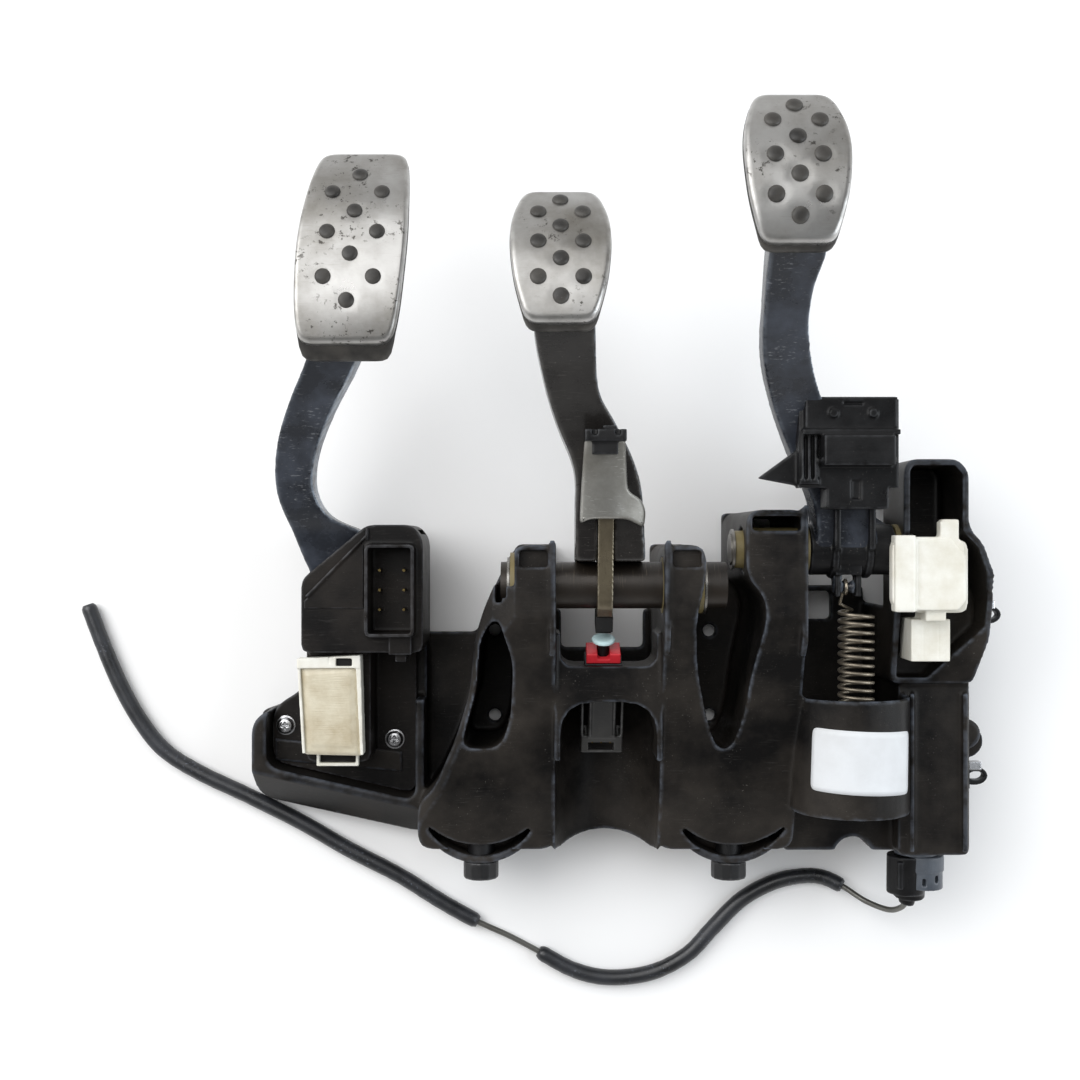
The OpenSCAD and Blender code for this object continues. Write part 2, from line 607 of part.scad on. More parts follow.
module accel_pad_cover() color("#a8a298") at_pad(accel_pad, accel_tilt)
  pad_cover(accel_outline, accel_pad_bow, accel_nubs);

// Brake arm outlines from its pivot, seen from the front and from the side
brake_front = moved(concat(
  smooth([[-22, -1], [-22, 45], [-23, 73], [-34, 100], [-42, 125], [-48, 157], [-46, 197]]),
  smooth([[-18, 197], [-12, 157], [-9, 120], [2, 100], [14, 77], [20, 53], [23, -1]])), [0, brake_pivot_y]);
brake_side = concat(
  moved(smooth([[-1, 21], [20, 25], [55, 33], [95, 50], [133, 74]]), brake_axis),
  pad_seat(brake_pad, brake_tilt, pad_bow, -3, 20),
  moved(smooth([[189, 70], [175, 67], [150, 57], [115, 34], [75, 10], [35, -4], [-1, -8]]), brake_axis));
module brake_blank() intersection() {
  prism_z(brake_front, 0, far);
  prism_x(brake_side, -far, far);
}
module brake_arm() color("#2e2c29") difference() {
  brake_blank();
  prism_z(box(brake_lever_x - lever_w / 2, 0, brake_lever_x + lever_w / 2, brake_pivot_y + 81), 0, far);
  rod_x(brake_tube_d / 2, -far, far, brake_pivot_y, pivot_z);
  rod_x(booster_pin_d / 2, -far, far, booster_y, booster_z);
  prism_z(box(-far, 0, far, brake_pivot_y), 0, far);
  at_pad(brake_pad, brake_tilt) pad_room(pad_bow);
}
// Zinc clip over the brake arm's front, with a strap up the arm and a band across it
strap_side = moved(smooth([[35, 28], [55, 33], [71, 39], [91, 48]]), brake_axis);
strap_x = [-17, 9];
band_x = [-19, 21];
band_top = brake_pivot_y + 57;
strap_lip = 3;
function strap_sheet(d) = concat(strap_side, flipped(moved(strap_side, d)));
module pushrod_clip() color("#9a9a97") difference() {
  union() {
    prism_x(strap_sheet([-3, 10]), strap_x[0], strap_x[1]);
    intersection() {
      prism_x(strap_sheet([-3, 10]), band_x[0], band_x[1]);
      prism_z(box(-far, -far, far, band_top), 0, far);
    }
  }
  prism_x(strap_sheet([-2, 7]), strap_x[0] + strap_lip, strap_x[1] - strap_lip);
  brake_blank();
  prism_x(rounded(lever_side, 4), -far, far);
}

// Brake light switch
disc_r = 7.5;
stem_r = 3.5;
module brake_switch_plunger() color("#9cc3cc") on_switch() {
  rod_z(disc_r, -2.5, 0, 0, 0);
  rod_z(stem_r, -20, -2.5, 0, 0);
}
lock_top = -8;
lock_low = -20;
module brake_switch_lock() color("#d8323c") on_switch() difference() {
  block(switch_w + 3, switch_d + 1, lock_low, lock_top);
  rod_z(stem_r + run, lock_low - 1, lock_top + 1, 0, 0);
}
socket_w = 27;
socket_d = 14;
socket_low = -84;
socket_top = -72;
module brake_switch_body() color("#3b3d40") on_switch() difference() {
  union() {
    block(switch_w, switch_d, socket_top, lock_low);
    block(socket_w, socket_d, socket_low, socket_top);
  }
  block(socket_w - 4, socket_d - 4, socket_low - 1, socket_low + 10);
  rod_z(stem_r + run, -40, lock_low + 1, 0, 0);
  for (x = [-6, 0, 6]) translate([x, 0, 0]) block(1.2, 2.4, socket_low, socket_top + 8);
}
module brake_switch_pins() color("#c9b37a") on_switch()
  for (x = [-6, 0, 6]) translate([x, 0, 0]) block(1.2, 2.4, socket_low + 4, socket_top + 8);

// Clutch pivot and pedal
clutch_flange_r = clutch_hub_d / 2;
bush_out = 4.5;
clip_out = bush_out + gap + clip_t;
module clutch_bushes() color("#cfc28a") difference() {
  union() {
    rod_x(clutch_bush_r, cx0 + 2, cx1, clutch_pivot_y, pivot_z);
    rod_x(clutch_bush_r - 2, cx0 - bush_out, cx0 + 2, clutch_pivot_y, pivot_z);
    rod_x(clutch_flange_r, cx1, cx1 + flange_t, clutch_pivot_y, pivot_z);
    rod_x(clutch_bush_r, dx0, dx0 + wall, clutch_pivot_y, pivot_z);
    rod_x(clutch_flange_r, dx0 - flange_t, dx0, clutch_pivot_y, pivot_z);
  }
  rod_x(clutch_shaft_d / 2 + run, -far, far, clutch_pivot_y, pivot_z);
}
module clutch_shaft() color("#77736c")
  rod_x(clutch_shaft_d / 2, cx0 - clip_out - 1, dx0 + wall + 6, clutch_pivot_y, pivot_z);
module clutch_circlips() color("#8d8d8d") for (x = [cx0 - clip_out, dx0 + wall + 1])
  ring_x(clutch_shaft_d / 2 + 3, clutch_shaft_d / 2, x, x + clip_t, clutch_pivot_y, pivot_z);
// Clutch arm outlines from its pivot
clutch_axis = [clutch_pivot_y, pivot_z];
clutch_front = moved(concat(
  smooth([[-23, 0], [-27, 30], [-43, 60], [-58, 90], [-68, 117], [-71, 144], [-72, 170], [-70, 208]]),
  smooth([[-45, 208], [-40, 170], [-44, 147], [-42, 124], [-29, 94], [-5, 62], [10, 32], [13, 0]])),
  [clutch_arm_x, clutch_pivot_y]);
clutch_side = concat(
  moved(smooth([[0, 16], [34, 21], [62, 31], [92, 52], [124, 86], [152, 113]]), clutch_axis),
  pad_seat(clutch_pad, clutch_tilt, pad_bow, -12, 10),
  moved(smooth([[204, 119], [182, 111], [152, 94], [117, 60], [87, 32], [52, 6], [16, -12], [0, -16]]),
  clutch_axis));
lever_x1 = dx0 - flange_t - gap;
lever_x0 = lever_x1 - 9;
loop_x = cup_x - 7;
hook_r = 3;
module clutch_blank() intersection() {
  prism_z(clutch_front, 0, far);
  prism_x(clutch_side, -far, far);
}
module clutch_lever() {
  side = [cos(half_travel), sin(half_travel)];
  pin = [pin_y, pin_z];
  prism_x([clutch_axis + 15 * side, clutch_axis - 15 * side, pin - 9 * side, pin + 9 * side],
    lever_x0, lever_x1);
  rod_x(9, lever_x0, lever_x1, pin_y, pin_z);
}
module spring_hook() {
  prism_x([[clutch_pivot_y, pivot_z + 14], [hook_y - 4, spring_z + 4], [hook_y - 5, spring_z - 4],
    [clutch_pivot_y - 8, pivot_z - 6]], loop_x - 8, loop_x - 3);
  rod_x(hook_r, loop_x - 8, loop_x + 5, hook_y, spring_z);
  rod_x(hook_r + 2, loop_x + 4, loop_x + 6, hook_y, spring_z);
}
module clutch_arm() color("#2f3136") difference() {
  union() {
    clutch_blank();
    rod_x(clutch_hub_d / 2, cx1 + flange_t + gap, lever_x1, clutch_pivot_y, pivot_z);
    clutch_lever();
    spring_hook();
  }
  rod_x(clutch_shaft_d / 2, -far, far, clutch_pivot_y, pivot_z);
  rod_x(lever_pin_r, -far, far, pin_y, pin_z);
  at_pad(clutch_pad, clutch_tilt) pad_room(pad_bow);
}
module clutch_lever_pin() color("#9c9a95") rod_x(lever_pin_r, lever_x0, cyl_x + 9, pin_y, pin_z);
case_z = pivot_z + 50;
module on_clutch() translate([clutch_arm_x, clutch_pivot_y, 0]) children();
module clutch_sensor_case() color("#1f1f20") difference() {
  on_clutch() {
    prism_z(rounded(box(-41, 38, 20, 92), 4), case_z - 16, case_z);
    prism_z([[-63, 40], [-39, 40], [-39, 64], [-47, 64]], case_z - 16, case_z - 10);
    prism_z(rounded(box(-25, 24, 13, 42), 4), case_z - 26, case_z - 8);
  }
  clutch_blank();
}
module clutch_sensor_cap() color("#29292b") on_clutch()
  prism_z(rounded(box(-28, 51, 15, 72), 3), case_z, case_z + 10);

// Clutch return spring, hooked on the pedal and on the bar in the cup
coil_low = -38;
coil_top = 46;
coil_turns = 16;
coil_steps = 14;
loop_play = 0.1;
hook_loop = hook_r + spring_wire / 2 + loop_play;
anchor_loop = anchor_r + spring_wire / 2 + loop_play;
loop_steps = 12;
function around(y, r, a0, a1, x) = [for (k = [0:loop_steps]) let (a = a0 + (a1 - a0) * k / loop_steps)
  [x, y + r * cos(a), spring_z + r * sin(a)]];
spring_path = concat(around(anchor_y, anchor_loop, -60, -270, cup_x),
  [[cup_x, anchor_y + 6, spring_z + 6], [cup_x, coil_low - 2, spring_z + 9]],
  [for (k = [0:coil_turns * coil_steps + 7]) let (a = 90 + k * 360 / coil_steps)
    [cup_x + spring_r * cos(a), coil_low + (coil_top - coil_low) * k / (coil_turns * coil_steps),
    spring_z + spring_r * sin(a)]],
  [[loop_x - 2, coil_top + 7, spring_z - 7]], flipped(around(hook_y, hook_loop, 240, -90, loop_x)));
module clutch_spring() color("#6a655c") sweep(spring_path, spring_wire / 2, 6, [0, 1, 0.01]);

// White clutch switch in the bracket's wing
switch_x0 = dx0 + wall;
switch_y0 = 48;
switch_box = box(switch_x0 + 1, switch_y0, right_x - 13, switch_y0 + 46);
module clutch_switch_body() color("#eceade") {
  difference() {
    prism_z(rounded(switch_box, 6), wing_floor, switch_top);
    prism_z(inset(switch_box, 3), wing_floor - 1, switch_top - 3);
    rod_x(clutch_shaft_d / 2 + 4.5, dx0, dx0 + wall + 9, clutch_pivot_y, pivot_z);
  }
  prism_z(rounded(box(dx0 - 9, switch_y0 + 2, right_x - 18, switch_y0 + 48), 8),
    switch_top, switch_top + 9);
  prism_z(box(right_x - 33, switch_y0 + 40, right_x - 22, switch_y0 + 58), switch_top, switch_top + 9);
}
plug_top = switch_top - 8;
module clutch_switch_plug() color("#f4f3ee") difference() {
  prism_z(rounded(box(switch_x0 + 3, switch_y0 - 32, switch_x0 + 29, switch_y0), 5),
    wing_floor + 10, plug_top);
  for (x = [9, 16, 23])
    prism_z(box(switch_x0 + x, switch_y0 - 40, switch_x0 + x + 2, switch_y0 - 6), plug_top - 3, far);
  prism_z(box(switch_x0 + 8, switch_y0 - 40, switch_x0 + 24, switch_y0 - 18), wing_floor + 15, wing_floor + 32);
}

// Clutch hydraulics
rod_r = 5;
module clutch_pushrod() color("#8c8a86") difference() {
  union() {
    rod_x(eye_r, cyl_x - 6, cyl_x + 6, pin_y, rod_z);
    rod_y(rod_r, piston_top, pin_y - eye_r + 3, cyl_x, rod_z);
  }
  rod_x(lever_pin_r + eye_play, -far, far, pin_y, rod_z);
}
seal_y = piston_top - 9;
module seal_ring() difference() {
  rod_y(cyl_bore / 2 - run, seal_y - 3, seal_y, cyl_x, rod_z);
  rod_y(cyl_bore / 2 - 2.5, seal_y - 4, seal_y + 1, cyl_x, rod_z);
}
module clutch_piston() color("#b9bcc0") difference() {
  rod_y(cyl_bore / 2 - run, piston_top - piston_l, piston_top, cyl_x, rod_z);
  seal_ring();
}
module piston_seal() color("#1b1b1b") seal_ring();
cyl_low = right_low_y - 4;
module master_cylinder() color("#3a3d42") difference() {
  rod_y(cyl_d / 2, cyl_low, 12, cyl_x, rod_z);
  rod_y(cyl_bore / 2, piston_top - piston_l - stroke - 4, 13, cyl_x, rod_z);
  rod_y(1.5, cyl_low - 1, 0, cyl_x, rod_z);
}
outlet = [cyl_x - 5, cyl_low - 34, rod_z - 7];
module outlet_fitting() color("#33363b") {
  rod_y(cyl_d / 2 - 1, cyl_low - 10, cyl_low, cyl_x, rod_z);
  rod_y(cyl_d / 2 + 3, cyl_low - 30, cyl_low - 10, cyl_x, rod_z);
  rod_y(5, outlet[1], cyl_low - 30, outlet[0], outlet[2]);
}
// Route of the clutch pipe, from the outlet to its cut end on the floor
pipe_z = sleeve_d / 2 + 0.1;
floor_route = [[155, -145], [138, -145], [119, -150], [98, -162], [78, -182], [62, -199], [41, -211],
  [20, -216], [-2, -216], [-23, -210], [-45, -198], [-66, -187], [-88, -177], [-115, -162],
  [-144, -144], [-179, -126], [-214, -106], [-250, -88], [-286, -71], [-311, -55], [-328, -34],
  [-342, -9], [-354, 19], [-365, 48]];
route = concat([outlet, outlet + [-2, -6, -5], outlet + [-9, -10, -14], [184, -159, 18], [170, -151, 9]],
  [for (q = floor_route) [q[0], q[1], pipe_z]]);
route_steps = 2;
pipe_path = smooth(route, route_steps);
function stretch(i, j) = [for (k = [i * route_steps:j * route_steps]) pipe_path[k]];
sleeve_bore = pipe_d / 2 + 0.5;
module clutch_pipe() color("#6d6f70") sweep(pipe_path, pipe_d / 2, 8);
module pipe_sleeve_short() color("#232427") sweep(stretch(4, 15), sleeve_d / 2, 10, [0, 0, 1], sleeve_bore);
module pipe_sleeve_long() color("#232427") sweep(stretch(17, 28), sleeve_d / 2, 10, [0, 0, 1], sleeve_bore);

// Accelerator module
accel_x1 = accel_x0 + 80;
accel_mid = accel_x0 + 38;
accel_low_z = 58;
accel_top = accel_pivot_y + 38;
screw_places = [[-221, -35], [-145, -44.5]];
screw_r = 2.5;
flange_top = tray_floor + 5;
accel_upper = [[accel_x0, 20], [accel_x1, 20], [accel_x1, accel_top - 9], [accel_x1 - 7, accel_top],
  [accel_x0 + 43, accel_top], [accel_x0, accel_top - 36]];
socket = box(accel_x0 + 43, accel_pivot_y - 35, accel_x1 - 5, accel_pivot_y + 25);
socket_floor = accel_front_z - 14;
rotor_r = 7;
contact_places = [for (x = [-8, 8], y = [-18, -5, 8])
  [(socket[0][0] + socket[1][0]) / 2 + x, accel_pivot_y + y]];
contact_r = 0.9;
module accel_housing() color("#2c2e33") difference() {
  union() {
    prism_z(rounded(accel_upper, 5), tray_floor, accel_front_z);
    prism_z(rounded(box(accel_x0, -55, accel_x0 + 43, 24), 5), tray_floor, accel_low_z);
    intersection() {
      prism_z(rounded(inset(tray_recess, 1), 10), tray_floor, flange_top);
      prism_z(box(-far, -far, far, 24), 0, far);
    }
    prism_z(rounded(socket, 3), accel_front_z - 1, accel_front_z + 12);
  }
  prism_z(box(accel_x0 + accel_wall, accel_pivot_y - 39, accel_mid, far),
    tray_floor + accel_wall, accel_front_z - accel_wall);
  prism_z(box(accel_mid + accel_wall, 30, accel_x1 - accel_wall, accel_top - accel_wall),
    tray_floor + accel_wall, socket_floor - 3);
  prism_z(inset(socket, 2), socket_floor, far);
  prism_z(box(accel_x0 + accel_wall, -52, accel_x0 + 40, 16), tray_floor - 1, accel_low_z - accel_wall);
  rod_x(rotor_r + gap, accel_mid - 1, accel_mid + accel_wall + 1, accel_pivot_y, accel_pivot_z);
  rod_x(accel_pin_d / 2, accel_x0 + 1, accel_x1 - 1, accel_pivot_y, accel_pivot_z);
  for (p = contact_places) rod_z(contact_r, board_z + 1, far, p[0], p[1]);
  for (p = screw_places) rod_z(screw_r, 0, far, p[0], p[1]);
}
module accel_screws() color("#d5d5d5") for (p = screw_places) {
  rod_z(screw_r - run, 7, flange_top, p[0], p[1]);
  difference() {
    rod_z(5.5, flange_top, flange_top + 4, p[0], p[1]);
    translate([p[0], p[1], flange_top + 2]) cylinder(r = 2.6, h = 3, $fn = 6);
  }
}
cap_low = -58;
cap_top = 16;
module accel_stop_cap() color("#d8cfb4") difference() {
  prism_z(rounded(box(accel_x0 + 0.5, cap_low, accel_x0 + 40, cap_top), 5), accel_low_z, accel_low_z + 16);
  for (x = [4, 23]) prism_z(box(accel_x0 + x, cap_top - 26, accel_x0 + x + 13, cap_top + 1),
    accel_low_z + 4, accel_low_z + 13);
}
board_z = tray_floor + accel_wall;
module accel_connector_pins() color("#c9b37a") for (p = contact_places)
  rod_z(contact_r, board_z + 1.6, socket_floor + 10, p[0], p[1]);
module accel_sensor_board() color("#1f5a33")
  prism_z(box(accel_mid + accel_wall + 1, 32, accel_x1 - accel_wall - 1, 98), board_z, board_z + 1.6);
module accel_pivot_pin() color("#a9a9a9")
  rod_x(accel_pin_d / 2, accel_x0 + 1, accel_x1 - 1, accel_pivot_y, accel_pivot_z);
hub_x0 = accel_x0 + accel_wall + gap;
hub_x1 = accel_mid - gap;
tail_z = accel_pivot_z + 6;
spring_places = [for (s = [0.28, 0.72]) hub_x0 + s * (hub_x1 - hub_x0)];
spring_h = accel_front_z - accel_wall - tail_z;
return_wire = 1.4;
module accel_springs() color("#7d7a72") for (x = spring_places)
  sweep([for (k = [0:60]) let (a = k * 30) [x + 5 * cos(a), accel_pivot_y - 26 + 5 * sin(a),
    tail_z + return_wire / 2 + 0.05 + (spring_h - return_wire - 0.1) * k / 60]], return_wire / 2, 6);
// Accelerator arm outlines from its pivot
accel_axis = [accel_pivot_y, accel_pivot_z];
accel_front = concat([[hub_x0, accel_pivot_y], [hub_x0, accel_pivot_y + 8]], moved(concat(
  smooth([[1, 13], [-6, 32], [-14, 58], [-12, 84], [-2, 110], [13, 137], [21, 156], [27, 190]]),
  smooth([[53, 190], [51, 156], [44, 137], [26, 109], [13, 82], [10, 60], [18, 44], [37, 35]])),
  [accel_x0, accel_pivot_y]), [[hub_x1, accel_pivot_y + 35], [hub_x1, accel_pivot_y]]);
accel_side = concat([accel_axis + [0, 13]],
  moved(smooth([[18, 18], [33, 22], [46, 31], [84, 53], [134, 89], [145, 98]]), accel_axis),
  pad_seat(accel_pad, accel_tilt, accel_pad_bow, -8, 8),
  moved(smooth([[186, 86], [159, 81], [134, 64], [84, 30], [46, 6], [24, -7], [0, -13]]), accel_axis));
module accel_arm() color("#33363c") difference() {
  union() {
    intersection() {
      prism_z(accel_front, 0, far);
      prism_x(accel_side, -far, far);
    }
    rod_x(13, hub_x0, hub_x1, accel_pivot_y, accel_pivot_z);
    prism_z(box(hub_x0, accel_pivot_y - 34, hub_x1, accel_pivot_y), tail_z - 8, tail_z);
  }
  rod_x(accel_pin_d / 2 + run, -far, far, accel_pivot_y, accel_pivot_z);
  at_pad(accel_pad, accel_tilt) pad_room(accel_pad_bow);
}
module accel_rotor() color("#55585c")
  ring_x(rotor_r, accel_pin_d / 2 + run, hub_x1, accel_mid + 9, accel_pivot_y, accel_pivot_z);

bracket();
column_nuts();
side_clips();
side_clip_pins();
label();
brake_bushes();
brake_tube();
brake_circlips();
brake_lever();
brake_bumper();
brake_arm();
pushrod_clip();
brake_pad_rubber();
brake_pad_cover();
brake_switch_body();
brake_switch_lock();
brake_switch_pins();
brake_switch_plunger();
clutch_bushes();
clutch_shaft();
clutch_circlips();
clutch_arm();
clutch_lever_pin();
clutch_pad_rubber();
clutch_pad_cover();
clutch_sensor_case();
clutch_sensor_cap();
clutch_spring();
clutch_switch_body();
clutch_switch_plug();
clutch_pushrod();
clutch_piston();
piston_seal();
master_cylinder();
outlet_fitting();
clutch_pipe();
pipe_sleeve_short();
pipe_sleeve_long();
accel_housing();
accel_screws();
accel_stop_cap();
accel_connector_pins();
accel_sensor_board();
accel_pivot_pin();
accel_springs();
accel_arm();
accel_rotor();
accel_pad_rubber();
accel_pad_cover();
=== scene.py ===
# %% [markdown]
# # A pedal box, dressed in Blender
#
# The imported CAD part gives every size, joint and place. This lesson keeps that frame and makes the surfaces
# that a photograph would show: soft moulded edges, brushed steel pads, rubber, wound springs, dust and wear.
# The scene is in metres, and lists of points are in millimetres, times MM. The back face lies on the floor
# and the camera is straight above.

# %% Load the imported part
import json
import math

import bpy
import numpy as np
from mathutils import Matrix, Vector
from mathutils.geometry import delaunay_2d_cdt


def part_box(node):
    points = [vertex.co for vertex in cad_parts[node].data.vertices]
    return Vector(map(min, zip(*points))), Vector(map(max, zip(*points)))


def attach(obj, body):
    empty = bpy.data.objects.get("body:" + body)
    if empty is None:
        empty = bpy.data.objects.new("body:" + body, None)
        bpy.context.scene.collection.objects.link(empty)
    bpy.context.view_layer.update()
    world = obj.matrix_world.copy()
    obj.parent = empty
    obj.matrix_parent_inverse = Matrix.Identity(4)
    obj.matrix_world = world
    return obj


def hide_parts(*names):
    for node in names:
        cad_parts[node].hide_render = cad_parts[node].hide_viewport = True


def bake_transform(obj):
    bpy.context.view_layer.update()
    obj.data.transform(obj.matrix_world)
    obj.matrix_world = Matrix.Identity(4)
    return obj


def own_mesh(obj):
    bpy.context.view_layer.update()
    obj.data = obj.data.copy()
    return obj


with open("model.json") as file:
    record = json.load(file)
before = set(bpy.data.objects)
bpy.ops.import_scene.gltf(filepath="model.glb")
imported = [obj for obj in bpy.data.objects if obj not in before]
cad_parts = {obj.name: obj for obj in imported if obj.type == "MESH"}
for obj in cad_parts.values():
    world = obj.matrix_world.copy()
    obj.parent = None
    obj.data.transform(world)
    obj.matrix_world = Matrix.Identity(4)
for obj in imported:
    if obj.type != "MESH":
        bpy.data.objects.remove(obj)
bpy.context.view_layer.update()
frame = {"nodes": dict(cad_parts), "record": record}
MM = 0.001
scene = bpy.context.scene
record = frame["record"]
slot_of = {row["node"]: row["material_slot"] for row in record["subparts"]}
body_of = {node: body for body, nodes in record["behaviour"]["bodies"].items() for node in nodes}

# %% [markdown]
# ## Camera
#
# The photograph looks straight down, so the camera keeps its default direction. Its height of one metre and
# its lens come from the perspective of the towers: near pieces look about a tenth larger than the flange.

# %% Camera
PHOTO_PX = 1080
PX_PER_METRE_AT_1M = 1400
camera_data = bpy.data.cameras.new("photo_camera")
camera_data.sensor_width = 36
camera_data.lens = 36 * PX_PER_METRE_AT_1M / PHOTO_PX
camera = bpy.data.objects.new("photo_camera", camera_data)
camera.location = (-0.044, 0.094, 1.0)
scene.collection.objects.link(camera)
scene.camera = camera
scene.view_settings.view_transform = "Standard"
print("camera height", camera.location.z, "lens", round(camera_data.lens, 2))

# %% [markdown]
# ## A small set of shader words
#
# Every finish below is a node tree. Writing the trees by hand is long, so a few helpers add a node, feed its
# sockets and return the output. A value that is a socket is linked, and any other value is written in place.

# %% Shader helpers
def srgb(r, g, b):
    """A colour as it is read off a screen, turned into the linear light that shaders use."""
    shares = (r / 255, g / 255, b / 255)
    linear = [c / 12.92 if c <= 0.04045 else ((c + 0.055) / 1.055) ** 2.4 for c in shares]
    return (*linear, 1)


def feed(tree, socket, value):
    if isinstance(value, bpy.types.NodeSocket):
        tree.links.new(value, socket)
    else:
        socket.default_value = value


def add(tree, kind, **inputs):
    made = tree.nodes.new("ShaderNode" + kind)
    for key, value in inputs.items():
        feed(tree, made.inputs[key.replace("_", " ")], value)
    return made


def noise(tree, place, scale, detail=4, rough=0.55):
    return add(tree, "TexNoise", Vector=place, Scale=scale, Detail=detail, Roughness=rough).outputs[0]


def stretched(tree, place, scale):
    return add(tree, "Mapping", Vector=place, Scale=scale).outputs[0]


def between(tree, value, low, high, start=0.0, end=1.0):
    made = add(tree, "MapRange", Value=value)
    for i, v in enumerate((low, high, start, end)):
        made.inputs[i + 1].default_value = v
    return made.outputs[0]


def times(tree, a, b):
    made = tree.nodes.new("ShaderNodeMath")
    made.operation = "MULTIPLY"
    feed(tree, made.inputs[0], a)
    feed(tree, made.inputs[1], b)
    return made.outputs[0]


def mixed(tree, share, a, b):
    made = tree.nodes.new("ShaderNodeMix")
    made.data_type = "RGBA"
    for i, value in ((0, share), (6, a), (7, b)):
        feed(tree, made.inputs[i], value)
    return made.outputs[2]


print("shader helpers ready")

# %% [markdown]
# ## One recipe for used surfaces
#
# Old plastic and steel differ in colour, but they age in the same ways: cloudy patches, dust that sticks in
# specks, fine scratches in one direction, and edges rubbed pale. The pale edge colour is also a painted
# highlight where edges would catch the light. One recipe with a share for each keeps the finishes alike in
# scale. Pointiness finds the edges, which works because the meshes are dense there. The pedal arms also get
# a painted highlight, mixed with scuffs, on the flanks that face right.

# %% The used-surface recipe
def used(name, base, worn, rough, metal=0.0, cloud=30, dust=0.0, dust_colour=(0.35, 0.33, 0.30, 1), edge=0.0,
         edge_rub_and_highlight_colour=None, scratch=0.0, scratch_colour=None, along=(1, 12, 12), grain=1200, bump=0.15,
         spread=0.12, coat=0.0, shine=0.5, side=0.0):
    material = bpy.data.materials.new(name)
    material.use_nodes = True
    tree = material.node_tree
    surface = tree.nodes["Principled BSDF"]
    place = add(tree, "TexCoord").outputs["Object"]
    patches = noise(tree, place, cloud, 6, 0.62)
    colour = mixed(tree, between(tree, patches, 0.38, 0.68), base, worn)
    lines = noise(tree, stretched(tree, place, along), 90, 3, 0.5)
    if scratch:
        groups = between(tree, noise(tree, place, 45, 2), 0.45, 0.62)
        marks = times(tree, between(tree, lines, 0.6, 0.68), groups)
        colour = mixed(tree, times(tree, marks, scratch), colour, scratch_colour or worn)
    # The edge mask is partly rubbed wear and partly a painted highlight: edges take a pale colour where light
    # would catch them.
    if edge:
        pointy = add(tree, "NewGeometry").outputs["Pointiness"]
        broken = between(tree, noise(tree, place, 120, 3), 0.35, 0.6)
        rub_and_highlight = times(tree, between(tree, pointy, 0.508, 0.57), broken)
        colour = mixed(tree, times(tree, rub_and_highlight, edge), colour, edge_rub_and_highlight_colour or worn)
    if dust:
        specks = times(tree, between(tree, noise(tree, place, 900, 2), 0.69, 0.76),
                       between(tree, noise(tree, place, 22, 3), 0.42, 0.62))
        colour = mixed(tree, times(tree, specks, dust), colour, dust_colour)
    # Painted highlight, mixed with scuffs: flanks that face +X are lightened as the right-hand lamp would
    # light them.
    if side:
        facing = add(tree, "SeparateXYZ", Vector=add(tree, "NewGeometry").outputs["Normal"]).outputs["X"]
        broken = between(tree, noise(tree, place, 110, 6, 0.7), 0.38, 0.6)
        rub_and_highlight = times(tree, between(tree, facing, 0.45, 0.75), broken)
        colour = mixed(tree, times(tree, rub_and_highlight, side), colour, RIGHT_FLANK_SCUFF_AND_HIGHLIGHT)
    feed(tree, surface.inputs["Base Color"], colour)
    surface.inputs["Specular IOR Level"].default_value = shine
    feed(tree, surface.inputs["Roughness"], between(tree, patches, 0.3, 0.7, rough - spread, rough + spread))
    surface.inputs["Metallic"].default_value = metal
    surface.inputs["Coat Weight"].default_value = coat
    surface.inputs["Coat Roughness"].default_value = COAT_ROUGH
    height = add(tree, "Math").outputs[0]
    feed(tree, height.node.inputs[0], noise(tree, place, grain, 3))
    feed(tree, height.node.inputs[1], lines)
    relief = add(tree, "Bump", Height=height, Strength=bump, Distance=GRAIN_DEPTH)
    feed(tree, surface.inputs["Normal"], relief.outputs[0])
    return material


WHITE_SCUFF = srgb(205, 208, 212)
# The pale blue of that painted highlight and scuffs on flanks that face right.
RIGHT_FLANK_SCUFF_AND_HIGHLIGHT = srgb(150, 162, 176)
COAT_ROUGH = 0.15
GRAIN_DEPTH = 0.4 * MM
print("recipe ready")
